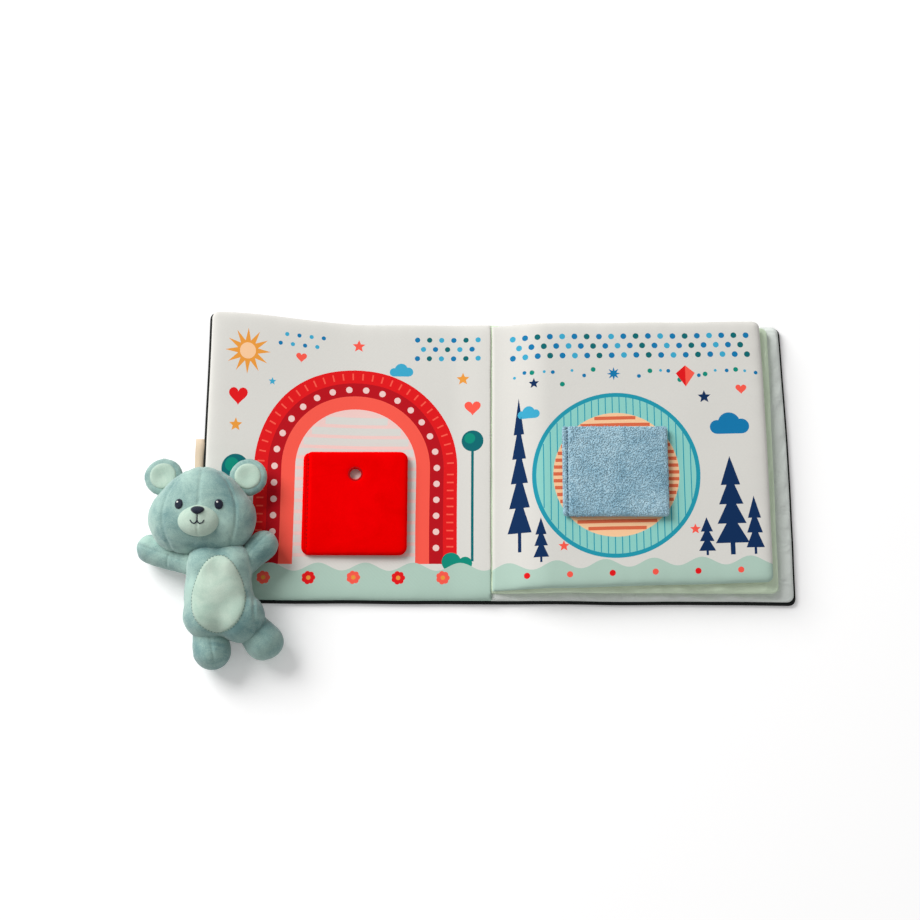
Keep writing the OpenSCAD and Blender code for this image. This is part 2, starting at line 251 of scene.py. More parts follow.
def star(x: float, y: float, r: float, tips: int = 5, waist: float = 0.45) -> Loop:
    """A star with its first tip upwards.

    Args:
        x: Its middle along X.
        y: Its middle along Y.
        r: The radius of its tips.
        tips: How many tips it has.
        waist: The radius between tips, as a share of r.

    Returns:
        The loop.
    """
    return [(x + q * math.cos(a), y + q * math.sin(a))
            for i in range(2 * tips)
            for q, a in [(r if i % 2 == 0 else r * waist, math.pi / 2 + i * math.pi / tips)]]


def heart(x: float, y: float, r: float) -> Loop:
    """A heart about 2r wide.

    Args:
        x: Its middle along X.
        y: Its middle along Y.
        r: Half its width.

    Returns:
        The loop.
    """
    # The usual heart curve, which is 32 wide.
    count, half = 28, 16
    loop: Loop = []
    for i in range(count):
        t = math.tau * i / count
        wide = half * math.sin(t) ** 3
        high = 13 * math.cos(t) - 5 * math.cos(2 * t) - 2 * math.cos(3 * t) - math.cos(4 * t)
        loop.append((x - wide * r / half, y + high * r / half))
    return loop


def fir(x: float, y: float, h: float, w: float, tiers: int) -> list[Loop]:
    """A fir tree: a trunk and a triangle for each tier.

    Args:
        x: Its trunk's middle.
        y: Its foot.
        h: Its height, about.
        w: The width of its lowest tier.
        tiers: How many tiers it has.

    Returns:
        The loops.
    """
    narrower, tier_h = 0.14, 1.5
    trunk = w * 0.07
    step = h * 0.8 / tiers
    loops = [rectangle(x - trunk, y, x + trunk, y + h * 0.3)]
    for i in range(tiers):
        half = w / 2 * (1 - i * narrower)
        base = y + h * 0.12 + i * step
        loops.append([(x - half, base), (x + half, base), (x, base + step * tier_h)])
    return loops


def cloud(x: float, y: float, r: float) -> list[Loop]:
    """A cloud of three puffs on a flat base.

    Args:
        x: The middle of its largest puff along X.
        y: The middle of its largest puff along Y.
        r: The radius of its largest puff.

    Returns:
        The loops.
    """
    side = r * 1.1
    return [circle(x, y, r), circle(x - side, y - r * 0.35, r * 0.65),
            circle(x + side, y - r * 0.3, r * 0.7),
            rectangle(x - side, y - r, x + side, y - r * 0.2)]


def arch(x: float, y: float, r: float, foot: float) -> Loop:
    """A half disc on two straight legs.

    Args:
        x: The middle of the disc along X.
        y: The middle of the disc along Y.
        r: Its radius.
        foot: Where the legs end.

    Returns:
        The loop.
    """
    upper = [(x + r * math.cos(math.radians(a)), y + r * math.sin(math.radians(a)))
             for a in range(0, 181, 4)]
    return [(x + r, foot), *upper, (x - r, foot)]


def ray(x: float, y: float, r0: float, r1: float, angle: float, width: float) -> Loop:
    """A short bar that points away from a middle.

    Args:
        x: The middle along X.
        y: The middle along Y.
        r0: Where the bar starts, from the middle.
        r1: Where the bar ends.
        angle: Its angle in degrees.
        width: Its width.

    Returns:
        The loop.
    """
    along = Vector((math.cos(math.radians(angle)), math.sin(math.radians(angle))))
    aside = Vector((-along.y, along.x)) * width / 2
    middle = Vector((x, y))
    return [tuple(middle + along * r + aside * s)
            for r, s in ((r0, -1), (r1, -1), (r1, 1), (r0, 1))]


# Printed and padded cloth


@dataclass
class PagePrint:
    """The print of one page.

    Attributes:
        layers: Coloured loops, each drawn over the ones before.
    """

    layers: list[tuple[Ink, Loop]] = field(default_factory=list)

    def add(self, ink: Ink, *loops: Loop) -> None:
        """Draws loops in one ink over what is there."""
        self.layers += [(ink, loop) for loop in loops]

    def dots(self, inks: Sequence[Ink], x0: float, x1: float, y0: float, rows: int,
             pitch: float, radius: float) -> None:
        """Draws rows of dots, each row set off by half a pitch.

        Args:
            inks: The colours, taken in turn.
            x0: The first dot of the first row.
            x1: The end of the rows.
            y0: The height of the lowest row.
            rows: How many rows there are.
            pitch: The distance between dots.
            radius: The radius of a dot.
        """
        count, shuffle, rows_closer = 0, 5, 0.8
        for row in range(rows):
            x = x0 + (row % 2) * pitch / 2
            while x <= x1:
                self.add(inks[(count * shuffle + row) % len(inks)],
                         circle(x, y0 + row * pitch * rows_closer, radius, 14))
                x += pitch
                count += 1

    def ground(self, ink: Ink, x0: float, x1: float, low: float, high: float) -> None:
        """Draws a wavy strip of ground along the foot of a page.

        Args:
            ink: Its colour.
            x0: Its left end.
            x1: Its right end.
            low: Its foot.
            high: The middle height of its waves.
        """
        steps, swing, wavelength = 90, 3, 34
        wave = [(x, high + swing * math.sin(math.tau * x / wavelength))
                for x in (x0 + (x1 - x0) * i / steps for i in range(steps + 1))]
        self.add(ink, [(x0, low), (x1, low), *reversed(wave)])


@dataclass
class ClothPad:
    """A padded sheet of cloth: two skins sewn together round a rectangle.

    Attributes:
        name: The name of the piece.
        x0: Its left side, in millimetres like every length here.
        y0: Its lower side.
        x1: Its right side.
        y1: Its upper side.
        layer: Gives the lowest and the highest height of the padding at a point.
        seam: How far up between the two its skins are sewn together, as a share.
        corner: The radius of its sewn corners.
        rim: The distance over which the padding fills out from the seam.
        lip: The share of the height that is reached in the rounded edge.
        edge: The width of the rounded edge.
        pucker: The height of the puckers at the seam.
        pucker_pitch: Their size along the seam.
        pucker_reach: The distance over which they fade inwards.
        slant: How far they lean along the seam, for each millimetre inwards.
        swell: The height of the long, soft waves.
        grid: The size of the triangles.
        seed: Its own place in the noise.
        art: What is printed on it.
        ground: The colour of its cloth.
        open_side: The side where the cloth runs on into the spine.
        bend: The width of the part that bends there.
        bend_row: The distance of the rows of points in that part.
        turn: The radius of its edge there.
        shift: How its points are moved, for the way it lies.
        press: What is added to the height of its upper skin.
        hole: The middle and the radius of a hole through it.
    """

    name: str
    x0: float
    y0: float
    x1: float
    y1: float
    layer: Layer
    seam: float = 0.5
    corner: float = 5.0
    rim: float = 4.0
    lip: float = 0.35
    edge: float = 1.3
    pucker: float = 0.35
    pucker_pitch: float = 9.0
    pucker_reach: float = 7.0
    slant: float = 0.0
    swell: float = 0.35
    grid: float = 2.3
    seed: float = 0.0
    art: PagePrint = field(default_factory=PagePrint)
    ground: Ink = Ink.PAPER
    open_side: Side = Side.NONE
    bend: float = 0.0
    bend_row: float = 0.5
    turn: float = 1.4
    shift: Shift | None = None
    press: HeightField | None = None
    hole: Triple | None = None

    def depth(self, x: float, y: float) -> float:
        """How far a point lies inside the sewn edges.

        Args:
            x: The point along X.
            y: The point along Y.

        Returns:
            The distance to the nearest sewn edge, less than 0 outside.
        """
        run_on = 40.0
        x0 = self.x0 - (run_on if self.open_side is Side.LEFT else 0)
        x1 = self.x1 + (run_on if self.open_side is Side.RIGHT else 0)
        qx = abs(x - (x0 + x1) / 2) - (x1 - x0) / 2 + self.corner
        qy = abs(y - (self.y0 + self.y1) / 2) - (self.y1 - self.y0) / 2 + self.corner
        outside = math.hypot(max(qx, 0), max(qy, 0)) + min(max(qx, qy), 0)
        inside = self.corner - outside
        if self.hole:
            hx, hy, hr = self.hole
            inside = min(inside, math.hypot(x - hx, y - hy) - hr)
        return inside

    def rise(self, x: float, y: float) -> float:
        """How far up the cloth stands at a point.

        Args:
            x: The point along X.
            y: The point along Y.

        Returns:
            The share of its full height.
        """
        fill = 2.2
        depth = max(self.depth(x, y), 0)
        turn = min(depth / self.edge, 1)
        share = self.lip * math.sqrt(1 - (1 - turn) ** 2)
        share += (1 - self.lip) * (1 - math.exp(-fill * depth / self.rim))
        if self.open_side is not Side.NONE:
            away = min(max(self.to_spine(x), 0) / self.turn, 1)
            share *= math.sqrt(1 - (1 - away) ** 2)
        return share

    def ripple(self, x: float, y: float, key: float) -> float:
        """The puckers that the seam draws into the cloth along each edge.

        Args:
            x: The point along X.
            y: The point along Y.
            key: The skin's own place in the noise.

        Returns:
            The height that they add.
        """
        # Each edge: how far away it is, the place along it, and its own place in the noise.
        edges = [(y - self.y0, x, 9.1), (self.y1 - y, x, 13.9)]
        if self.open_side is not Side.LEFT:
            edges.append((x - self.x0, y, 1.3))
        if self.open_side is not Side.RIGHT:
            edges.append((self.x1 - x, y, 5.7))
        total = sum(math.exp(-max(depth, 0) / self.pucker_reach)
                    * wobble((along + self.slant * depth) / self.pucker_pitch,
                             place + self.seed, key)
                    for depth, along, place in edges)
        stitched = 2.2
        return total * self.pucker * smooth(self.depth(x, y), 0, stitched)

    def height(self, x: float, y: float, top: bool) -> float:
        """The height of a skin at a point.

        Args:
            x: The point along X.
            y: The point along Y.
            top: Whether it is the upper skin.

        Returns:
            The height.
        """
        low, high = self.layer(x, y)
        seam = low + (high - low) * self.seam
        key, share = (0.5, 1.0) if top else (4.5, 0.3)
        z = seam + ((high if top else low) - seam) * self.rise(x, y)
        z += self.ripple(x, y, key) * share
        pitch, flat_edge = 46, 14
        wave = wobble(x / pitch + self.seed, y / pitch, key) * self.swell
        z += wave * smooth(self.depth(x, y), 0, flat_edge) * share
        if self.press and top:
            z += self.press(x, y)
        return z

    def from_spine(self, away: float) -> float:
        """The place along X at a distance from the side at the spine."""
        return self.x1 - away if self.open_side is Side.RIGHT else self.x0 + away

    def to_spine(self, x: float) -> float:
        """The distance of a place along X from the side at the spine."""
        return self.x1 - x if self.open_side is Side.RIGHT else x - self.x0

    def cut(self, a: Point, b: Point) -> float:
        """How finely a side of the outline is cut: in short pieces where the cloth bends.

        Args:
            a: The start of the side.
            b: The end of the side.

        Returns:
            The longest piece that may be left.
        """
        across = abs(a[1] - b[1]) < abs(a[0] - b[0])
        bends = self.to_spine((a[0] + b[0]) / 2) <= self.bend
        return self.bend_row if across and bends else self.grid

    def outline(self, inset: float) -> Loop:
        """The outline of the pad.

        Args:
            inset: How far it is drawn in.

        Returns:
            The loop, with points where the net needs them.
        """
        x0, y0, x1, y1 = (self.x0 + inset, self.y0 + inset, self.x1 - inset, self.y1 - inset)
        sharp = 0.6
        sewn = max(self.corner - inset, sharp)
        left = sharp if self.open_side is Side.LEFT else sewn
        right = sharp if self.open_side is Side.RIGHT else sewn
        loop: Loop = []
        for x, y, r, start in ((x1 - right, y0 + right, right, -90),
                               (x1 - right, y1 - right, right, 0),
                               (x0 + left, y1 - left, left, 90),
                               (x0 + left, y0 + left, left, 180)):
            turns = max(3, round(math.pi / 2 * r / self.grid) + 2)
            for i in range(turns + 1):
                a = math.radians(start + 90 * i / turns)
                loop.append((x + r * math.cos(a), y + r * math.sin(a)))
            if self.bend and start in (0, 180):
                loop.append((self.from_spine(self.bend), y1 if start == 0 else y0))
        return resampled(loop, self.cut)

    def net(self) -> tuple[list[Point], list[tuple[int, int, int]], list[Ink]]:
        """Cuts the pad into triangles that follow its outline and its print.

        Returns:
            The points, the triangles and the ink of each triangle.
        """
        hole_points, nearest = 40, 1e-5
        loops = [self.outline(0)]
        if self.hole:
            hx, hy, hr = self.hole
            loops.append(circle(hx, hy, hr, hole_points))
        first_ink = len(loops)
        loops += [resampled(loop, lambda a, b: self.grid * 1.2) for _, loop in self.art.layers]
        points: list[Point] = []
        faces: list[list[int]] = []
        for loop in loops:
            faces.append(list(range(len(points), len(points) + len(loop))))
            points += loop
        # Rings of points follow the sewn edge, where the cloth curves most.
        for inset in (0.25, 0.7, 1.4, 2.4, 3.8):
            points += self.outline(inset)
            if self.hole:
                points += circle(hx, hy, hr + inset, hole_points)
        margin = 5.0
        width, length = self.x1 - self.x0 - 2 * margin, self.y1 - self.y0 - 2 * margin
        columns, rows = int(width / self.grid), int(length / self.grid)
        for i in range(columns + 1):
            for j in range(rows + 1):
                x = self.x0 + margin + width * i / columns
                y = self.y0 + margin + length * j / rows
                if not self.hole or math.hypot(x - hx, y - hy) > hr + margin:
                    points.append((x, y))
        for i in range(1, int(self.bend / self.bend_row) + 1):
            x = self.from_spine(i * self.bend_row)
            points += [(x, self.y0 + margin + length * j / rows) for j in range(rows + 1)]
        result = delaunay_2d_cdt([Vector(p) for p in points], [], faces, 0, nearest, True)
        corners, _, triangles, _, _, sources = result
        keep: list[tuple[int, int, int]] = []
        inks: list[Ink] = []
        for triangle, source in zip(triangles, sources):
            if 0 not in source or (self.hole and 1 in source):
                continue
            keep.append(tuple(triangle))
            last = max(source)
            printed = last >= first_ink
            inks.append(self.art.layers[last - first_ink][0] if printed else self.ground)
        return [(p.x, p.y) for p in corners], keep, inks

    def place(self, point: Point, top: bool) -> Triple:
        """Where a point of the flat net comes to lie.

        Args:
            point: The point.
            top: Whether it is on the upper skin.

        Returns:
            Its place in metres.
        """
        x, y = point
        z = self.height(x, y, top)
        dx, dy, dz = self.shift(x, y) if self.shift else (0.0, 0.0, 0.0)
        return ((x + dx) * MM, (y + dy) * MM, (z + dz) * MM)

    def build(self) -> Object:
        """Makes the closed pad, with its inks in a colour attribute.

        Returns:
            The piece.
        """
        points, triangles, inks = self.net()
        used = sorted({i for t in triangles for i in t})
        edges: dict[tuple[int, int], int] = {}
        for triangle in triangles:
            for a, b in zip(triangle, (*triangle[1:], triangle[0])):
                key = (min(a, b), max(a, b))
                edges[key] = edges.get(key, 0) + 1
        rim = {i for key, count in edges.items() if count == 1 for i in key}
        top = {i: n for n, i in enumerate(used)}
        below = [i for i in used if i not in rim]
        bottom = top | {i: len(used) + n for n, i in enumerate(below)}
        verts = [self.place(points[i], True) for i in used]
        verts += [self.place(points[i], False) for i in below]
        faces = [tuple(top[i] for i in t) for t in triangles]
        faces += [tuple(bottom[i] for i in reversed(t)) for t in triangles]
        mesh = bpy.data.meshes.new(self.name)
        mesh.from_pydata(verts, [], faces)
        colours = mesh.color_attributes.new("print", "FLOAT_COLOR", "CORNER")
        values: list[float] = []
        for ink in inks + [self.ground] * len(triangles):
            values += list(ink.linear) * 3
        colours.data.foreach_set("color", values)
        mesh.polygons.foreach_set("use_smooth", [True] * len(faces))
        mesh.update()
        return link(self.name, mesh)


# Steps that every piece takes


def link(name: str, mesh: Mesh) -> Object:
    """Puts a mesh into the scene.

    Args:
        name: The name of the piece.
        mesh: Its mesh.

    Returns:
        The piece.
    """
    piece = bpy.data.objects.new(name, mesh)
    bpy.context.scene.collection.objects.link(piece)
    return piece


def from_shell(name: str, shell: Shell) -> Object:
    """Puts a shell into the scene under a name, and frees it.

    Args:
        name: The name of the piece.
        shell: Its faces.

    Returns:
        The piece.
    """
    mesh = bpy.data.meshes.new(name)
    shell.to_mesh(mesh)
    shell.free()
    return link(name, mesh)


def tell(piece: Object) -> None:
    """Reports a piece that is ready."""
    LOG.info("%s: %d faces", piece.name, len(piece.data.polygons))


def applied(piece: Object) -> Object:
    """Turns a mesh object and its live modifiers into a plain mesh.

    Args:
        piece: The object.

    Returns:
        The same object.
    """
    bpy.context.view_layer.update()
    graph = bpy.context.evaluated_depsgraph_get()
    mesh = bpy.data.meshes.new_from_object(piece.evaluated_get(graph), depsgraph=graph)
    piece.modifiers.clear()
    piece.data = mesh
    return piece


def dress(piece: Object, material: Material) -> Object:
    """Gives a piece its one material and smooth shading.

    Args:
        piece: The piece.
        material: Its cloth.

    Returns:
        The same piece.
    """
    piece.data.materials.clear()
    piece.data.materials.append(material)
    piece.data.polygons.foreach_set("use_smooth", [True] * len(piece.data.polygons))
    return piece


# Node trees and finishes


class Tree:
    """A small helper that places and joins the nodes of one node tree."""

    def __init__(self, tree: NodeTree) -> None:
        """Keeps the tree."""
        self.tree = tree

    def node(self, kind: str, feeds: dict[str | int, object] | None = None,
             **values: object) -> Node:
        """Adds a node.

        Args:
            kind: The node's type name.
            feeds: What goes into its inputs, by their names or places.
            **values: Settings of the node, by their own names.

        Returns:
            The new node.
        """
        made = self.tree.nodes.new(kind)
        for key, value in values.items():
            setattr(made, key, value)
        for key, value in (feeds or {}).items():
            self.feed(made.inputs[key], value)
        return made

    def feed(self, target: Socket, value: object) -> None:
        """Joins an output to an input, or sets the input's own value.

        Args:
            target: The input.
            value: An output, or a value of the input's own kind.
        """
        if isinstance(value, Socket):
            self.tree.links.new(value, target)
        else:
            target.default_value = value

    def math(self, operation: str, a: object, b: object = 0.0) -> Socket:
        """Adds a Math node on sockets or numbers and returns its output."""
        return self.node("ShaderNodeMath", {0: a, 1: b}, operation=operation).outputs[0]

    def vector(self, x: object, y: object, z: object) -> Socket:
        """Adds a Combine XYZ node and returns its output."""
        return self.node("ShaderNodeCombineXYZ", {0: x, 1: y, 2: z}).outputs[0]

    def parts(self, vector: Socket) -> bpy.types.NodeOutputs:
        """Adds a Separate XYZ node and returns its three outputs."""
        return self.node("ShaderNodeSeparateXYZ", {0: vector}).outputs

    def turn(self, angles: object) -> Socket:
        """Adds an Euler to Rotation node and returns its output."""
        return self.node("FunctionNodeEulerToRotation", {0: angles}).outputs[0]

    def mix(self, blend: str, factor: object, a: object, b: object) -> Socket:
        """Adds a colour Mix node on sockets or colours and returns its output."""
        return self.node("ShaderNodeMix", {0: factor, 6: a, 7: b}, data_type="RGBA",
                         blend_type=blend).outputs[2]

    def bump(self, height: Socket, strength: float, distance: float,
             normal: Socket | None = None) -> Socket:
        """Adds a Bump node.

        Args:
            height: The height that it turns into a normal.
            strength: Its strength.
            distance: The height of 1, in metres.
            normal: A normal that it goes on from.

        Returns:
            The new normal.
        """
        feeds = {"Strength": strength, "Distance": distance, "Height": height}
        if normal:
            feeds["Normal"] = normal
        return self.node("ShaderNodeBump", feeds).outputs[0]

    def grain(self, vector: Socket, scale: object, detail: float, roughness: float = 0.5,
              distortion: float = 0.0) -> Socket:
        """Adds a Noise Texture node.

        Args:
            vector: Where it is looked up.
            scale: How fine it is.
            detail: How many finer layers it has.
            roughness: How strong the finer layers are.
            distortion: How much it is bent.

        Returns:
            Its value.
        """
        return self.node("ShaderNodeTexNoise", {
            "Vector": vector, "Scale": scale, "Detail": detail, "Roughness": roughness,
            "Distortion": distortion}).outputs["Fac"]


def shader_group(name: str, inputs: dict[str, float]) -> tuple[Tree, Node, Node]:
    """Starts a shader node group with a Vector input and Height and Shade outputs.

    Args:
        name: The group's name.
        inputs: Number inputs and their defaults.

    Returns:
        The tree helper and the group's input and output nodes.
    """
    group = bpy.data.node_groups.new(name, "ShaderNodeTree")
    group.interface.new_socket("Vector", in_out="INPUT", socket_type="NodeSocketVector")
    for key, value in inputs.items():
        socket = group.interface.new_socket(key, in_out="INPUT", socket_type="NodeSocketFloat")
        socket.default_value = value
    for key in ("Height", "Shade"):
        group.interface.new_socket(key, in_out="OUTPUT", socket_type="NodeSocketFloat")
    tree = Tree(group)
    return tree, tree.node("NodeGroupInput"), tree.node("NodeGroupOutput")


def weave_group() -> NodeTree:
    """The woven ground of plain cloth: threads both ways, with slubs.

    Returns:
        The group.
    """
    tree, start, end = shader_group("Plain weave", {"Thread scale": 2200.0, "Slub": 0.4})
    given = start.outputs
    scaled = tree.node("ShaderNodeVectorMath", {0: given["Vector"],
                                                "Scale": given["Thread scale"]},
                       operation="SCALE")
    place = tree.parts(scaled.outputs[0])
    crossing = tree.math("MULTIPLY", tree.math("SINE", place[0]), tree.math("SINE", place[1]))
    slub = tree.grain(given["Vector"], 700.0, detail=3.0)
    rough = tree.math("MULTIPLY", slub, given["Slub"])
    tree.feed(end.inputs["Height"], tree.math("ADD", tree.math("MULTIPLY", crossing, 0.5),
                                              rough))
    tree.feed(end.inputs["Shade"], slub)
    return tree.tree


def pile_group() -> NodeTree:
    """The pile of velour or terry: fine tufts with patches brushed two ways.

    Returns:
        The group.
    """
    tree, start, end = shader_group("Pile", {"Tuft scale": 1500.0, "Patch scale": 60.0})
    given = start.outputs
    tuft = tree.grain(given["Vector"], given["Tuft scale"], detail=2.0, roughness=0.7)
    patch = tree.grain(given["Vector"], given["Patch scale"], detail=4.0, roughness=0.62,
                       distortion=0.6)
    tuft_share, patch_share = 0.3, 0.7
    both = tree.math("ADD", tree.math("MULTIPLY", tuft, tuft_share),
                     tree.math("MULTIPLY", patch, patch_share))
    tree.feed(end.inputs["Height"], tuft)
    tree.feed(end.inputs["Shade"], both)
    return tree.tree


@dataclass(frozen=True)
class Finish:
    """A cloth finish: how its base shader is set.

    Attributes:
        name: The name of the material.
        roughness: Its roughness.
        specular: The level of its gloss.
        sheen: The strength of its sheen.
    """

    name: str
    roughness: float = 0.85
    specular: float = 0.2
    sheen: float = 0.0

    def start(self) -> tuple[Material, Tree, Node, Socket]:
        """Starts the material.

        Returns:
            The material, its tree, its shader and its object coordinates.
        """
        made = bpy.data.materials.new(self.name)
        made.use_nodes = True
        shader = made.node_tree.nodes["Principled BSDF"]
        shader.inputs["Roughness"].default_value = self.roughness
        shader.inputs["Specular IOR Level"].default_value = self.specular
        shader.inputs["Sheen Weight"].default_value = self.sheen
        shader.inputs["Sheen Roughness"].default_value = 0.5
        tree = Tree(made.node_tree)
        return made, tree, shader, tree.node("ShaderNodeTexCoord").outputs["Object"]


@dataclass(frozen=True)
class WovenCloth(Finish):
    """Woven cloth, tape or thread in one colour, or in the inks of a printed mesh.

    Attributes:
        colour: Its colour as 8-bit sRGB, or nothing for the inks of the mesh.
        threads: The scale of its threads: their number in a metre, times two pi.
        bump: How strongly the threads stand out.
        depth: How deep the weave is, in metres.
        shade: How much its slubs darken it.
        creases: How strongly it is creased.
        crease_scale: How fine the creases are.
    """

    colour: Triple | None = None
    threads: float = 2200.0
    bump: float = 0.12
    depth: float = 0.0002
    shade: float = 0.05
    creases: float = 0.0
    crease_scale: float = 90.0

    def material(self, weave: NodeTree) -> Material:
        """Makes the material.

        Args:
            weave: The plain weave group.

        Returns:
            The material.
        """
        made, tree, shader, spot = self.start()
        threads = tree.node("ShaderNodeGroup", {"Vector": spot}, node_tree=weave)
        threads.inputs["Thread scale"].default_value = self.threads
        low = tree.math("SUBTRACT", 1.0 + self.shade / 2,
                        tree.math("MULTIPLY", threads.outputs["Shade"], self.shade))
        if self.colour:
            ground: object = srgb(*self.colour)
        else:
            ground = tree.node("ShaderNodeVertexColor", layer_name="print").outputs["Color"]
        tree.feed(shader.inputs["Base Color"],
                  tree.mix("MULTIPLY", 1.0, ground, tree.vector(low, low, low)))
        normal = tree.bump(threads.outputs["Height"], self.bump, self.depth)
        if self.creases:
            crumple = tree.grain(spot, self.crease_scale, detail=3.0, distortion=1.2)
            crease_depth = 0.003
            normal = tree.bump(crumple, self.creases, crease_depth, normal)
        tree.feed(shader.inputs["Normal"], normal)
        return made


@dataclass(frozen=True)
class PileCloth(Finish):
    """Velour or terry: a pile that shades with the way it is brushed.

    Attributes:
        dark: Its colour where it is brushed one way, as 8-bit sRGB.
        light: Its colour where it is brushed the other way.
        tuft: How fine its tufts are.
        patch: How small the brushed patches are.
        bump: How strongly the tufts stand out.
        depth: How deep the pile is, in metres.
        contrast: Half the range of shades between both colours.
    """

    dark: Triple = (0, 0, 0)
    light: Triple = (255, 255, 255)
    tuft: float = 1500.0
    patch: float = 60.0
    bump: float = 0.5
    depth: float = 0.0006
    contrast: float = 0.14

    def material(self, pile: NodeTree) -> Material:
        """Makes the material.

        Args:
            pile: The pile group.

        Returns:
            The material.
        """
        made, tree, shader, spot = self.start()
        tufts = tree.node("ShaderNodeGroup", {"Vector": spot}, node_tree=pile)
        tufts.inputs["Tuft scale"].default_value = self.tuft
        tufts.inputs["Patch scale"].default_value = self.patch
        ramp = tree.node("ShaderNodeMapRange", {"Value": tufts.outputs["Shade"],
                                                "From Min": 0.5 - self.contrast,
                                                "From Max": 0.5 + self.contrast})
        tree.feed(shader.inputs["Base Color"],
                  tree.mix("MIX", ramp.outputs[0], srgb(*self.dark), srgb(*self.light)))
        tree.feed(shader.inputs["Normal"],
                  tree.bump(tufts.outputs["Height"], self.bump, self.depth))
        return made


class Wardrobe:
    """Every finish of the book, made once."""

    def __init__(self) -> None:
        """Builds the node groups and the materials."""
        weave = weave_group()
        pile = pile_group()

        def thread(name: str, colour: Triple, **values: float) -> Material:
            """Sewing thread in one colour."""
            return WovenCloth(name, colour=colour, threads=5200.0, **values).material(weave)

        self.page = WovenCloth("Printed page cloth").material(weave)
        self.leaf = WovenCloth("Leaf cloth", creases=0.6, crease_scale=55.0).material(weave)
        self.back = WovenCloth("Back lining cloth", creases=0.8,
                               crease_scale=55.0).material(weave)
        self.dark = WovenCloth("Dark cover cloth", colour=(28, 30, 29), threads=3000.0,
                               bump=0.6, depth=0.0004, shade=0.5).material(weave)
        self.red = PileCloth("Red velour", dark=(236, 0, 0), light=(250, 0, 3), tuft=1900.0,
                             patch=45.0, specular=0.0, bump=0.35).material(pile)
        self.blue = PileCloth("Blue terry", dark=(148, 188, 206), light=(186, 216, 228),
                              tuft=900.0, bump=0.2).material(pile)
        self.sage = PileCloth("Sage velour", dark=(108, 147, 147), light=(174, 205, 194),
                              patch=34.0, sheen=0.4, contrast=0.12).material(pile)
        self.pale = PileCloth("Pale velour", dark=(168, 198, 182), light=(206, 224, 208),
                              patch=38.0, sheen=0.3).material(pile)
        self.tape = WovenCloth("Cream tape", colour=(226, 206, 180), threads=3600.0,
                               bump=0.5, depth=0.0003, shade=0.15).material(weave)
        self.navy = thread("Navy thread", (14, 26, 48), bump=0.7, depth=0.0004,
                           roughness=0.5, sheen=0.2, shade=0.3)
        self.white = thread("White thread", (240, 240, 236), roughness=0.6)
        self.red_thread = thread("Red thread", (196, 0, 6), bump=0.5)
        self.blue_thread = thread("Blue thread", (44, 74, 104), bump=0.5)
        self.sage_thread = thread("Sage thread", (112, 148, 138), bump=0.5)


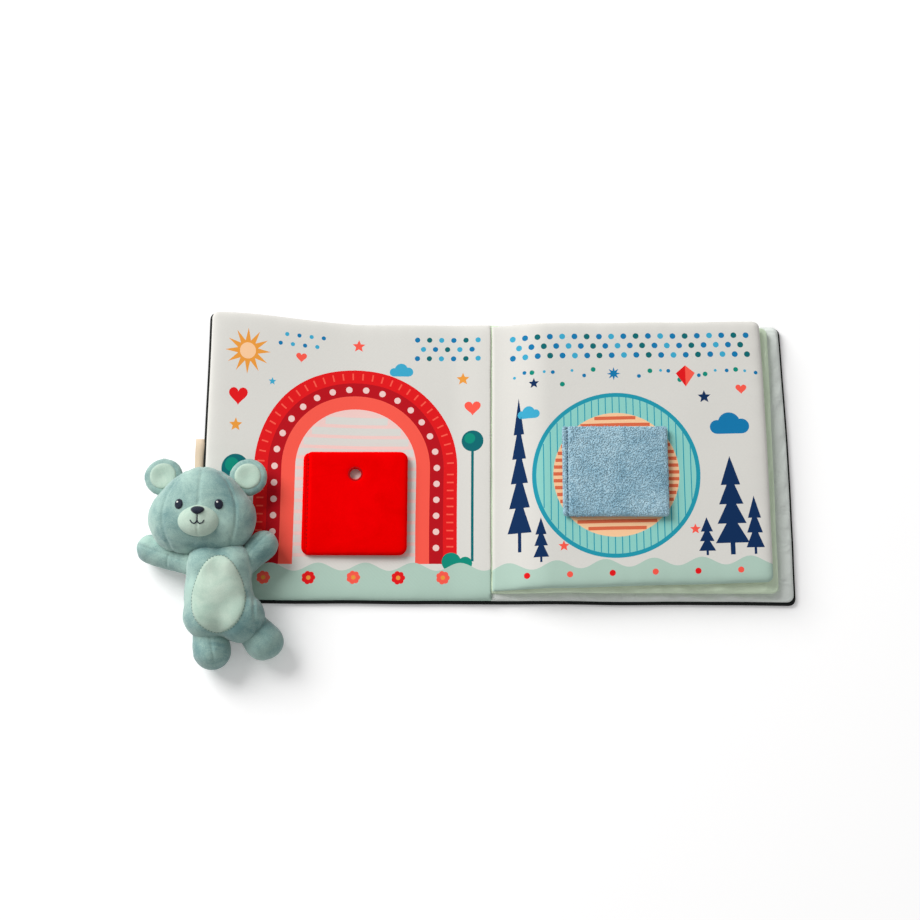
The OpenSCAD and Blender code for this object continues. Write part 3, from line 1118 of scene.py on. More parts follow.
class Garnish:
    """Geometry Nodes that set stitches along lines and loops on terry cloth."""

    def __init__(self) -> None:
        """Builds both node groups."""
        self.stitch_group = self.stitches()
        self.loop_group = self.loops()

    @staticmethod
    def group(name: str, numbers: dict[str, float]) -> tuple[Tree, Node, Node]:
        """Starts a geometry group with its number inputs and a Material input.

        Args:
            name: The group's name.
            numbers: Number inputs and their defaults.

        Returns:
            The tree helper and the group's input and output nodes.
        """
        made = bpy.data.node_groups.new(name, "GeometryNodeTree")
        sockets = [("Geometry", "INPUT", "Geometry"), *((key, "INPUT", "Float") for key in numbers),
                   ("Material", "INPUT", "Material"), ("Geometry", "OUTPUT", "Geometry")]
        for key, way, kind in sockets:
            socket = made.interface.new_socket(key, in_out=way, socket_type=f"NodeSocket{kind}")
            if key in numbers:
                socket.default_value = numbers[key]
        tree = Tree(made)
        return tree, tree.node("NodeGroupInput"), tree.node("NodeGroupOutput")

    def stitches(self) -> NodeTree:
        """A group that lays one rounded stitch at each step along a line.

        Returns:
            The group.
        """
        tree, start, end = self.group("Stitches", {"Spacing": 0.003, "Length": 0.002,
                                                   "Radius": 0.0003, "Turn": 0.0})
        given = start.outputs
        line = tree.node("GeometryNodeMeshToCurve", {"Mesh": given["Geometry"]})
        steps = tree.node("GeometryNodeResampleCurve",
                          {"Curve": line.outputs["Curve"], "Length": given["Spacing"]},
                          mode="LENGTH")
        ball = tree.node("GeometryNodeMeshUVSphere",
                         {"Segments": 8, "Rings": 6, "Radius": 1.0})
        half = tree.math("MULTIPLY", given["Length"], 0.5)
        drawn_out = tree.node("GeometryNodeTransform", {
            "Geometry": ball.outputs["Mesh"],
            "Scale": tree.vector(half, given["Radius"], given["Radius"])})
        turned = tree.node("GeometryNodeTransform", {
            "Geometry": drawn_out.outputs["Geometry"],
            "Rotation": tree.turn(tree.vector(0.0, 0.0, given["Turn"]))})
        tangent = tree.node("GeometryNodeInputTangent").outputs[0]
        along = tree.node("FunctionNodeAlignRotationToVector", {"Vector": tangent}, axis="X")
        laid = tree.node("GeometryNodeInstanceOnPoints", {
            "Points": steps.outputs["Curve"], "Instance": turned.outputs["Geometry"],
            "Rotation": along.outputs[0]})
        self.close(tree, laid.outputs["Instances"], start, end)
        return tree.tree

    def loops(self) -> NodeTree:
        """A group that covers the upper side of a cloth with loops of thread.

        Returns:
            The group.
        """
        tree, start, end = self.group("Terry loops", {
            "Per square metre": 800000.0, "Loop radius": 0.0006, "Thread radius": 0.0003,
            "Seam place": 0.0, "Seam width": 0.001})
        given = start.outputs
        facing = tree.parts(tree.node("GeometryNodeInputNormal").outputs[0])
        spot = tree.parts(tree.node("GeometryNodeInputPosition").outputs[0])
        away = tree.math("ABSOLUTE", tree.math("SUBTRACT", spot[0], given["Seam place"]))
        clear = tree.math("GREATER_THAN", away, given["Seam width"])
        upward = tree.math("GREATER_THAN", facing[2], 0.5)
        spread = tree.node("GeometryNodeDistributePointsOnFaces", {
            "Seed": 4, "Mesh": given["Geometry"], "Density": given["Per square metre"],
            "Selection": tree.math("MULTIPLY", clear, upward)})
        arc = tree.node("GeometryNodeCurveArc", {
            "Resolution": 5, "Sweep Angle": 3.6, "Start Angle": -0.2,
            "Radius": given["Loop radius"]})
        section = tree.node("GeometryNodeCurvePrimitiveCircle", {
            "Resolution": 3, "Radius": given["Thread radius"]})
        tube = tree.node("GeometryNodeCurveToMesh", {
            "Curve": arc.outputs["Curve"], "Profile Curve": section.outputs["Curve"]})
        upright = tree.node("GeometryNodeTransform", {
            "Geometry": tube.outputs["Mesh"], "Rotation": tree.turn((math.pi / 2, 0, 0))})
        spin = tree.node("FunctionNodeRandomValue", {3: math.tau}, data_type="FLOAT")
        lean = 0.25
        both = tree.node("FunctionNodeRotateRotation", {
            0: spread.outputs["Rotation"],
            1: tree.turn(tree.vector(lean, 0.0, spin.outputs[1]))}, rotation_space="LOCAL")
        size = tree.node("FunctionNodeRandomValue", {2: 0.75, 3: 1.25, "Seed": 9},
                         data_type="FLOAT")
        laid = tree.node("GeometryNodeInstanceOnPoints", {
            "Points": spread.outputs["Points"], "Instance": upright.outputs["Geometry"],
            "Rotation": both.outputs[0], "Scale": size.outputs[1]})
        whole = tree.node("GeometryNodeJoinGeometry", {0: laid.outputs["Instances"]})
        tree.feed(whole.inputs[0], given["Geometry"])
        self.close(tree, whole.outputs[0], start, end)
        return tree.tree

    @staticmethod
    def close(tree: Tree, made: Socket, start: Node, end: Node) -> None:
        """Ends a group: real geometry with its material.

        Args:
            tree: The group's tree.
            made: The geometry so far.
            start: The group's input node.
            end: The group's output node.
        """
        real = tree.node("GeometryNodeRealizeInstances", {0: made})
        dyed = tree.node("GeometryNodeSetMaterial", {"Geometry": real.outputs[0],
                                                     "Material": start.outputs["Material"]})
        tree.feed(end.inputs[0], dyed.outputs[0])

    @staticmethod
    def apply(piece: Object, group: NodeTree, values: dict[str, object]) -> Object:
        """Runs a group on a piece and keeps the result as its mesh.

        Args:
            piece: The mesh object.
            group: The geometry group.
            values: The group's inputs by their names.

        Returns:
            The piece.
        """
        live = piece.modifiers.new(group.name, "NODES")
        live.node_group = group
        for item in group.interface.items_tree:
            if item.in_out == "INPUT" and item.name in values:
                live[item.identifier] = values[item.name]
        return applied(piece)

    def row(self, name: str, line: Sequence[Vector], material: Material,
            body: Body, spacing: float, length: float, radius: float = 0.3,
            turn: float = 0.0, closed: bool = False) -> Object:
        """Sews a row of stitches along a line.

        Args:
            name: The name of the piece.
            line: Its points, in millimetres.
            material: The thread.
            body: What it rides on.
            spacing: The distance from stitch to stitch, in millimetres.
            length: The length of a stitch.
            radius: The radius of the thread.
            turn: The turn of each stitch from the line, in radians.
            closed: Whether the line ends where it starts.

        Returns:
            The piece.
        """
        count = len(line)
        edges = [(i, (i + 1) % count) for i in range(count if closed else count - 1)]
        mesh = bpy.data.meshes.new(name)
        mesh.from_pydata([p * MM for p in line], edges, [])
        piece = self.apply(link(name, mesh), self.stitch_group, {
            "Spacing": spacing * MM, "Length": length * MM, "Radius": radius * MM,
            "Turn": turn, "Material": material})
        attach(dress(piece, material), body.value)
        return piece


# The pieces of the book and its toy


class Skin:
    """The upper surface of a piece, for things that are sewn onto it."""

    def __init__(self, *pieces: Object) -> None:
        """Keeps the meshes of some pieces for rays from above."""
        verts: list[Vector] = []
        faces: list[list[int]] = []
        for piece in pieces:
            start = len(verts)
            verts += [v.co.copy() for v in piece.data.vertices]
            faces += [[start + i for i in p.vertices] for p in piece.data.polygons]
        self.tree = BVHTree.FromPolygons(verts, faces)

    def top(self, x: float, y: float) -> float:
        """The height of the surface over a point.

        Args:
            x: The point along X, in millimetres.
            y: The point along Y.

        Returns:
            The height, or that of the nearest spot beside the surface.
        """
        above, beside = 1.0, 0.03
        hit = self.tree.ray_cast(Vector((x * MM, y * MM, above)), Vector((0, 0, -1)))[0]
        if hit is None:
            hit = self.tree.find_nearest(Vector((x * MM, y * MM, beside)))[0]
        return hit.z / MM


@dataclass
class OpenBook:
    """The covers and the leaves, with their print.

    Attributes:
        wardrobe: The finishes.
        flap_red: The box of the red flap.
        flap_blue: The box of the blue flap.
        front: The box of the front cover's outer cloth.
        lining: The box of its lining.
        back: The box of the back cover's outer cloth.
        back_lining: The box of its lining.
        block: The box of both leaves.
        wide: The width of a cover, in millimetres like every length here.
        half_high: Half the height of a cover.
        leaf_a_x1: The right side of the upper leaf.
        leaf_a_y0: The lower side of the upper leaf.
        leaf_t: The thickness of a leaf.
        crease_x: The line where both pages meet at the spine.
        front_fold: The width of the cloth that bends with the front cover; not used.
        back_fold: The width of the cloth that bends with the back cover; not used.
    """

    wardrobe: Wardrobe
    flap_red: Box = box_of("red_velour_flap")
    flap_blue: Box = box_of("blue_terry_flap")
    front: Box = box_of("front_cover_outer")
    lining: Box = box_of("front_cover_lining")
    back: Box = box_of("back_cover_outer")
    back_lining: Box = box_of("back_cover_lining")
    block: Box = box_of("pages")
    wide: float = 213.0
    half_high: float = 105.0
    leaf_a_x1: float = 194.6
    leaf_a_y0: float = -92.0
    leaf_t: float = 6.4
    crease_x: float = -3.0
    front_fold: float = 5.0
    back_fold: float = 14.0

    def left_print(self) -> PagePrint:
        """Draws the left page: a rainbow arch, a sun, round trees and flowers.

        Returns:
            The print.
        """
        art = PagePrint()
        x0, x1 = self.lining.x0 + 5, self.lining.x1 - 5
        y0, y1 = self.lining.y0 + 5, self.lining.y1 - 5
        ground_y = y0 + 19
        arch_x = self.flap_red.centre.x
        arch_y, foot = -6.0, ground_y + 2
        # The radii of the window in the arch, of the row of dots, and of a dot.
        window, dot_row, dot = 44, 59, 2.4
        for radius, ink in ((74, Ink.RED), (64, Ink.DARK_RED), (54, Ink.CORAL),
                            (window, Ink.PINK)):
            art.add(ink, arch(arch_x, arch_y, radius, foot))
        # Dashes in the outer band: rays round the arch, then bars down its legs.
        dash, thin = 5, 1.1
        art.add(Ink.CORAL, *(ray(arch_x, arch_y, 66.5, 66.5 + dash, a, thin)
                             for a in range(3, 180, 6)))
        for side in (-1, 1):
            for row in range(12):
                x, y = arch_x + side * 69, arch_y - 5 - row * 6
                art.add(Ink.CORAL, rectangle(x - dash / 2, y - thin / 2, x + dash / 2,
                                             y + thin / 2))
        # Pale boards in the window of the arch.
        board, pitch = 5.5, 8
        for row in range(15):
            y = foot + row * pitch
            reach = math.sqrt(max(window ** 2 - max(y + board - arch_y, 0) ** 2, 0))
            if reach > pitch:
                art.add(Ink.PAPER, rectangle(arch_x - reach, y, arch_x + reach, y + board))
        for a in range(0, 181, 12):
            turn = math.radians(a)
            art.add(Ink.PINK, circle(arch_x + dot_row * math.cos(turn),
                                     arch_y + dot_row * math.sin(turn), dot, 14))
        for side in (-1, 1):
            for row in range(5):
                art.add(Ink.PINK, circle(arch_x + side * dot_row, arch_y - 12 * (row + 1),
                                         dot, 14))
        # Round trees, bushes, ground and flowers.
        for tx, height, radius in ((x0 + 17, 78, 10), (x1 - 9, 98, 8)):
            base = ground_y + 4
            art.add(Ink.TEAL, rectangle(tx - radius * 0.12, base, tx + radius * 0.12,
                                        base + height - radius),
                    circle(tx, base + height - radius, radius))
            art.add(Ink.GREEN, circle(tx - radius * 0.25, base + height - radius * 0.75,
                                      radius * 0.5))
        for bush_x, radius in ((x1 - 24, 7), (x1 - 14, 5), (x0 + 34, 6)):
            art.add(Ink.GREEN, circle(bush_x, ground_y + radius * 0.5, radius))
        art.ground(Ink.PALE_GREEN, x0 - 9, x1 + 9, y0 - 9, ground_y)
        petals, petal, bud = 7, 2.0, 1.6
        for i in range(-2, 3):
            fx, fy = arch_x + i * 32, ground_y - 8
            for k in range(petals):
                turn = math.tau * k / petals
                art.add(Ink.RED if i % 2 else Ink.CORAL,
                        circle(fx + 3 * math.cos(turn), fy + 3 * math.sin(turn), petal, 12))
            art.add(Ink.ORANGE, circle(fx, fy, bud, 12))
        # The sky: a sun, stars, hearts, a cloud and dots.
        art.add(Ink.ORANGE, star(x0 + 23, y1 - 23, 17, 12), star(x0 + 16, y1 - 76, 5),
                star(x1 - 16, y1 - 37, 5))
        art.add(Ink.CREAM, circle(x0 + 23, y1 - 23, 6))
        art.add(Ink.RED, heart(x0 + 17, y1 - 55, 7))
        art.add(Ink.CORAL, heart(x1 - 9, y1 - 59, 6), star(arch_x, y1 - 12, 5),
                heart(arch_x - 42, y1 - 24, 4))
        art.add(Ink.SKY, *cloud(x1 - 62, y1 - 30, 5), star(x0 + 42, y1 - 44, 3))
        art.dots((Ink.BLUE, Ink.SKY, Ink.TEAL), x1 - 50, x1 - 4, y1 - 21, 3, 9, 2.0)
        art.dots((Ink.BLUE, Ink.SKY), x0 + 47, x0 + 79, y1 - 15, 2, 9, 1.6)
        return art

    def right_print(self) -> PagePrint:
        """Draws the upper leaf: a striped disc, firs, dots, a cloud and stars.

        Returns:
            The print.
        """
        art = PagePrint()
        x0, x1 = self.block.x0 + 5, self.leaf_a_x1 - 5
        y0, y1 = self.leaf_a_y0 + 5, self.block.y1 - 5
        ground_y = y0 + 11
        cx, cy = self.flap_blue.centre.x, self.flap_blue.centre.y
        # The disc: a ring with upright lines round a middle with level stripes.
        ring, middle_r, pitch, stripe = 57, 45, 5, 2.5
        art.add(Ink.DEEP_TURQUOISE, circle(cx, cy, ring + 3))
        art.add(Ink.TURQUOISE, circle(cx, cy, ring))
        x = cx - ring + pitch
        while x < cx + ring - 1:
            reach = math.sqrt(ring ** 2 - (x - cx) ** 2)
            art.add(Ink.DEEP_TURQUOISE, rectangle(x, cy - reach, x + 0.7, cy + reach))
            x += pitch
        art.add(Ink.CREAM, circle(cx, cy, middle_r))
        for row in range(18):
            y = cy - middle_r + row * pitch
            middle = y + stripe / 2 - cy
            reach = math.sqrt(max(middle_r ** 2 - (abs(middle) + stripe / 2) ** 2, 0))
            if reach > 3:
                art.add(Ink.STRIPE_ORANGE, rectangle(cx - reach, y, cx + reach, y + stripe))
        # Each fir: its place, its foot above the ground, its height, width and tiers.
        firs = ((x0 + 11, 10, 112, 17, 5), (x1 - 23, 4, 70, 24, 4), (x1 - 7, 4, 40, 13, 3),
                (x1 - 41, 4, 26, 12, 3), (x0 + 26, 2, 30, 11, 3))
        for fx, rise, height, width, tiers in firs:
            art.add(Ink.NAVY, *fir(fx, ground_y + rise, height, width, tiers))
        art.ground(Ink.PALE_GREEN, x0 - 9, x1 + 9, y0 - 9, ground_y)
        # The sky: stars, dots in rows, loose dots, clouds, a kite and a heart.
        art.add(Ink.NAVY, star(x1 - 39, y1 - 53, 5), star(x0 + 22, y1 - 41, 4))
        art.dots((Ink.BLUE, Ink.SKY, Ink.BLUE, Ink.TEAL), x0 + 7, x1 - 4, y1 - 21, 3, 9, 2.2)
        for i in range(26):
            dot_x = x0 + 8 + i * 7 + 2.5 * wobble(i * 0.77, 0.3)
            dot_y = y1 - 31 - 9 * abs(wobble(i * 0.61, 4.4)) * (1 + i % 2)
            if abs(dot_x - cx) > 12:
                art.add((Ink.SKY, Ink.BLUE, Ink.GREEN)[i % 3],
                        circle(dot_x, dot_y, 1.1 + 0.7 * (i % 3) / 2, 12))
        art.add(Ink.BLUE, *cloud(x1 - 22, y1 - 73, 8), star(cx, y1 - 35, 5, 8))
        art.add(Ink.SKY, *cloud(x0 + 18, y1 - 62, 4.5))
        kite_x, kite_y = x1 - 52, y1 - 36
        art.add(Ink.RED, [(kite_x, kite_y - 9), (kite_x + 7, kite_y + 1), (kite_x, kite_y + 7),
                          (kite_x - 7, kite_y + 1)])
        art.add(Ink.CORAL, [(kite_x, kite_y - 9), (kite_x + 7, kite_y + 1),
                            (kite_x, kite_y + 7)])
        art.add(Ink.CORAL, star(x0 + 42, y0 + 24, 4), star(x1 - 49, y0 + 34, 4),
                heart(x1 - 12, y1 - 47, 4))
        for i in range(6):
            art.add((Ink.RED, Ink.CORAL)[i % 2], circle(x0 + 16 + i * 30, ground_y - 7, 2.2, 14))
        return art

    @staticmethod
    def free(out: float) -> float:
        """How free a cover's edges are of the spine, at a distance from it."""
        return smooth(out, 6, 45)

    def front_shift(self, x: float, y: float) -> Triple:
        """How the front cover lies: its upper corner is pulled out and lifts a little.

        Args:
            x: The point along X.
            y: The point along Y.

        Returns:
            What is added to the point along each axis.
        """
        corner = smooth(-x, 90, self.wide) * smooth(y, -40, self.half_high)
        free = self.free(-x)
        dx = (0.6 * wobble(x / 60, y / 60, 3.1) * free
              - 0.9 * x / self.wide * y / self.half_high)
        dy = 0.6 * wobble(x / 55, y / 70, 7.7) * free + 8 * corner
        return dx, dy, 7 * corner

    def back_shift(self, x: float, y: float) -> Triple:
        """How the back cover lies: its free side bulges, most above the middle.

        Args:
            x: The point along X.
            y: The point along Y.

        Returns:
            What is added to the point along each axis.
        """
        free = self.free(x)
        up = y / self.half_high
        dx = (1.6 * math.cos(up * math.pi / 2) - 1.2 * up) * x / self.wide
        dx += 0.4 * wobble(x / 60, y / 30, 5.2) * free
        dy = 0.8 * wobble(x / 50, y / 70, 2.4) * free
        return dx, dy, 0.0

    def upper_shift(self, x: float, y: float) -> Triple:
        """How the upper leaf lies: turned a little about its far lower corner.

        Args:
            x: The point along X.
            y: The point along Y.

        Returns:
            What is added to the point along each axis.
        """
        out = x / self.leaf_a_x1
        up = (y - self.leaf_a_y0) / (self.block.y1 - self.leaf_a_y0)
        dx = 0.3 * wobble(x / 50, y / 50, 8.1) + out * (2.2 - 2.2 * up ** 3)
        dy = -6.2 * (1 - out) * (1 - up) + 2.2 * out * up + 0.5 * wobble(x / 40, y / 60, 6.3)
        return dx, dy, 0.0

    def lower_shift(self, x: float, y: float) -> Triple:
        """How the lower leaf lies: with one corner out at the head of the spine.

        Args:
            x: The point along X.
            y: The point along Y.

        Returns:
            What is added to the point along each axis.
        """
        dx = 0.5 * wobble(x / 40, y / 40, 1.1)
        dy = 0.6 * wobble(x / 30, y / 60, 9.3) + 2.0 * smooth(-x, -8, 0) * smooth(y, 88, 100)
        return dx, dy, 0.0

    def pads(self) -> list[tuple[ClothPad, Material, list[str], Body]]:
        """Lists the covers and the leaves.

        Returns:
            Each pad with its cloth, the CAD nodes that it stands for and its body.
        """
        cloth = self.wardrobe
        front, lining, back, inner, block = (self.front, self.lining, self.back,
                                             self.back_lining, self.block)
        left_nodes = [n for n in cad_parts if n.startswith("left_print")]
        right_nodes = [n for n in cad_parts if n.startswith("right_print")]
        # The laps at the spine, the hems outside the solids and what a lining is over them.
        lap, hem, over = 1.5, 0.9, 1.1
        # The heights of the lower and the upper leaf in the crease, below and on top.
        lower, upper = (6.4, 8.6), (8.9, 11.4)

        def sunk(out: float, crease: Point, flat: Point) -> tuple[float, float]:
            """The heights of a leaf at a share of its way out of the crease."""
            return tuple(near + (far - near) * out for near, far in zip(crease, flat))

        def left_layer(x: float, _y: float) -> tuple[float, float]:
            """The left page swells towards the crease."""
            return 3.0, lining.z1 + 0.3 + 2.4 * smooth(x, -34, self.crease_x)

        def lower_layer(x: float, _y: float) -> tuple[float, float]:
            """The lower leaf thins down and sinks into the crease."""
            return sunk(smooth(x, self.crease_x, 34), lower, (block.z0, block.z0 + self.leaf_t))

        def upper_layer(x: float, _y: float) -> tuple[float, float]:
            """The upper leaf thins down and sinks into the crease."""
            return sunk(smooth(x, self.crease_x - 4, 38), upper,
                        (block.z1 - self.leaf_t, block.z1 + 0.3))

        return [
            (ClothPad("front_cover_shell", front.x0 - 0.8, front.y0 - hem, lap, front.y1 - 0.4,
                      lambda x, y: (0.15, front.z1 + 0.3), seam=0.5, rim=3, lip=0.75,
                      pucker=0.25, grid=4.0, seed=1.0, open_side=Side.RIGHT, bend=10,
                      shift=self.front_shift),
             cloth.dark, ["front_cover_outer", "spine_strip"], Body.FRONT),
            (ClothPad("front_cover_page", lining.x0, lining.y0, self.crease_x,
                      lining.y1 + over, left_layer, seam=0.3, rim=6, seed=2.0,
                      art=self.left_print(), open_side=Side.RIGHT, bend=6, turn=1.1,
                      shift=self.front_shift),
             cloth.page, ["front_cover_lining", *left_nodes], Body.FRONT),
            (ClothPad("back_cover_shell", -lap, back.y0 - hem, back.x1 + 0.5, back.y1 - 0.4,
                      lambda x, y: (0.1, back.z1 + 0.25), seam=0.5, rim=3, lip=0.75,
                      pucker=0.25, grid=4.0, seed=3.0, open_side=Side.LEFT, bend=16,
                      shift=self.back_shift),
             cloth.dark, ["back_cover_outer"], Body.BACK),
            (ClothPad("back_cover_page", self.crease_x - 1, inner.y0, inner.x1, inner.y1 + over,
                      lambda x, y: (3.0, inner.z1 - 0.2), seam=0.3, rim=5, pucker=2.4, slant=0.9,
                      pucker_pitch=11, pucker_reach=11, swell=0.5, seed=4.0,
                      ground=Ink.BACK, grid=2.6, open_side=Side.LEFT, bend=18,
                      shift=self.back_shift),
             cloth.back, ["back_cover_lining"], Body.BACK),
            (ClothPad("lower_leaf", self.crease_x - 1.4, block.y0, block.x1, block.y1,
                      lower_layer, rim=4, lip=0.3, pucker=2.8, pucker_pitch=10, slant=0.9,
                      swell=0.4, seed=5.0, ground=Ink.LEAF, grid=2.6, open_side=Side.LEFT,
                      shift=self.lower_shift),
             cloth.leaf, ["pages"], Body.PAGES),
            (ClothPad("upper_leaf", self.crease_x + 0.4, self.leaf_a_y0, self.leaf_a_x1,
                      block.y1, upper_layer, rim=5, lip=0.3, pucker=0.45, seed=6.0,
                      art=self.right_print(), open_side=Side.LEFT, turn=1.1,
                      shift=self.upper_shift),
             cloth.page, ["pages", *right_nodes], Body.PAGES),
        ]

    def build(self) -> list[Object]:
        """Makes both covers and both leaves.

        Returns:
            The pieces.
        """
        made: list[Object] = []
        for pad, material, nodes, body in self.pads():
            piece = dress(pad.build(), material)
            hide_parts(*nodes)
            if body is Body.FRONT:
                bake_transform(piece)
            elif body is Body.BACK:
                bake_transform(piece)
            else:
                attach(piece, body.value)
            made.append(piece)
            tell(piece)
        return made


@dataclass
class Flaps:
    """The two sewn-on flaps.

    Attributes:
        wardrobe: The finishes.
        garnish: The stitches and loops.
        red: The box of the red flap.
        blue: The box of the blue flap.
        hole_r: The radius of the peephole, in millimetres like every length here.
        hole_drop: Its distance from the top of the flap.
        seam: The distance of the sewn line from a flap's left side.
        lift: How far a flap's free edge stands up.
    """

    wardrobe: Wardrobe
    garnish: Garnish
    red: Box = box_of("red_velour_flap")
    blue: Box = box_of("blue_terry_flap")
    hole_r: float = 4.0
    hole_drop: float = 17.0
    seam: float = 3.6
    lift: float = 0.8

    def curl(self, box: Box) -> HeightField:
        """The shape that a flap takes: down at its seam, up at its free edge.

        Args:
            box: The box of the flap.

        Returns:
            The height that is added at a point.
        """
        deep, wide = 1.7, 0.9

        def height(x: float, _y: float) -> float:
            """The groove at the seam, and the lift."""
            groove = -deep * math.exp(-((x - box.x0 - self.seam) / wide) ** 2)
            return groove + self.lift * smooth(x, box.x0, box.x1)

        return height

    def pad(self, name: str, box: Box, **values: object) -> ClothPad:
        """A flap's pad, with what both flaps share.

        Args:
            name: The name of the piece.
            box: The box of the flap.
            **values: Its own settings.

        Returns:
            The pad.
        """
        clear = 0.7
        low, high = box.z0 + clear, box.z1
        return ClothPad(name, box.x0, box.y0, box.x1, box.y1, lambda x, y: (low, high),
                        seam=0.45, rim=4, lip=0.45, edge=1.6, grid=1.5,
                        press=self.curl(box), **values)

    def seam_line(self, box: Box, skin: Skin, inset: float) -> list[Vector]:
        """The line of stitches down the sewn side of a flap.

        Args:
            box: The box of the flap.
            skin: The flap's upper side.
            inset: How far from its upper and lower side the line ends.

        Returns:
            Its points.
        """
        x = box.x0 + self.seam
        steps = 24
        length = box.y1 - box.y0 - 2 * inset
        heights = [box.y0 + inset + length * i / steps for i in range(steps + 1)]
        return [Vector((x, y, skin.top(x, y) + 0.1)) for y in heights]

    def build(self) -> list[Object]:
        """Makes both flaps.

        Returns:
            The pieces.
        """
        red, blue, cloth = self.red, self.blue, self.wardrobe
        hx, hy = (red.x0 + red.x1) / 2, red.y1 - self.hole_drop
        velour = dress(self.pad("red_velour_flap_cloth", red, corner=6, pucker=0.25,
                                pucker_pitch=7, swell=0.3, seed=7.0,
                                hole=(hx, hy, self.hole_r)).build(), cloth.red)
        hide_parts("red_velour_flap")
        skin = Skin(velour)
        rim = [Vector((x, y, skin.top(x, y) + 0.15))
               for x, y in circle(hx, hy, self.hole_r + 0.9, 40)]
        self.garnish.row("peephole_stitches", rim, cloth.red_thread, Body.FRONT,
                         spacing=0.62, length=2.0, turn=math.pi / 2, closed=True)
        self.garnish.row("red_flap_stitches", self.seam_line(red, skin, 3), cloth.red_thread,
                         Body.FRONT, spacing=3.0, length=2.1)
        terry = self.pad("blue_terry_flap_cloth", blue, corner=2.5, pucker=0.5,
                         pucker_pitch=8, swell=0.4, seed=8.0).build()
        skin = Skin(terry)
        self.garnish.row("blue_flap_stitches", self.seam_line(blue, skin, 1.5),
                         cloth.blue_thread, Body.PAGES, spacing=2.6, length=1.9, radius=0.4)
        self.garnish.apply(terry, self.garnish.loop_group, {
            "Per square metre": 1250000.0, "Loop radius": 0.00037, "Thread radius": 0.00022,
            "Seam place": (blue.x0 + self.seam) * MM, "Seam width": 0.001,
            "Material": cloth.blue})
        dress(terry, cloth.blue)
        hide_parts("blue_terry_flap")
        for piece, body in ((velour, Body.FRONT), (terry, Body.PAGES)):
            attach(piece, body.value)
            tell(piece)
        return [velour, terry]


@dataclass(frozen=True)
class Ball:
    """One ball of stuffing.

    Attributes:
        centre: Its middle, in millimetres.
        radii: Its radius along each axis.
    """

    centre: Triple
    radii: Triple


@dataclass
class Stuffed:
    """A stuffed cloth form: balls melted into one skin, with lumps and seams.

    Attributes:
        name: The name of the piece.
        balls: What it is stuffed with.
        voxel: The size of its first faces, in millimetres like every length here.
        smoothing: How many times its skin is smoothed.
        lumps: The height of its lumps.
        seams: For each seam, how far a point is from it.
        seam_depth: How deep the seams are.
        seam_width: How wide they are.
        floor: The height of what it rests on.
    """

    name: str
    balls: list[Ball]
    voxel: float = 2.2
    smoothing: int = 14
    lumps: float = 0.6
    seams: list[Callable[[Vector], float]] = field(default_factory=list)
    seam_depth: float = 0.9
    seam_width: float = 1.1
    floor: HeightField | None = None

    def build(self) -> Object:
        """Makes the form as a plain mesh.

        Returns:
            The piece.
        """
        shell = bmesh.new()
        for ball in self.balls:
            place = (Matrix.Translation(Vector(ball.centre) * MM)
                     @ Matrix.Diagonal((*(r * MM for r in ball.radii), 1)))
            bmesh.ops.create_icosphere(shell, subdivisions=4, radius=1, matrix=place)
        piece = from_shell(self.name, shell)
        melt = piece.modifiers.new("melt", "REMESH")
        melt.mode = "VOXEL"
        melt.voxel_size = self.voxel * MM
        relax = piece.modifiers.new("relax", "SMOOTH")
        relax.factor = 0.6
        relax.iterations = self.smoothing
        finer = piece.modifiers.new("finer", "SUBSURF")
        finer.levels = 1
        finer.render_levels = 1
        applied(piece)
        self.shape(piece.data)
        return piece

    def shape(self, mesh: Mesh) -> None:
        """Presses lumps and seams into the skin, and flattens it where it rests.

        Args:
            mesh: The skin.
        """
        give = 0.05
        lump, wrinkle, wrinkle_share = 13, 5, 0.35
        moves: list[Vector] = []
        for vert in mesh.vertices:
            spot = vert.co / MM
            shift = self.lumps * wobble(spot.x / lump, spot.y / lump, spot.z / lump)
            shift += self.lumps * wrinkle_share * wobble(spot.x / wrinkle, spot.y / wrinkle,
                                                         spot.z / wrinkle)
            for seam in self.seams:
                shift -= self.seam_depth * math.exp(-(seam(spot) / self.seam_width) ** 2)
            moves.append(vert.normal * shift * MM)
        for vert, move in zip(mesh.vertices, moves):
            vert.co += move
            if self.floor:
                rest = self.floor(vert.co.x / MM, vert.co.y / MM) * MM
                if vert.co.z < rest:
                    vert.co.z = rest + (vert.co.z - rest) * give
        mesh.update()


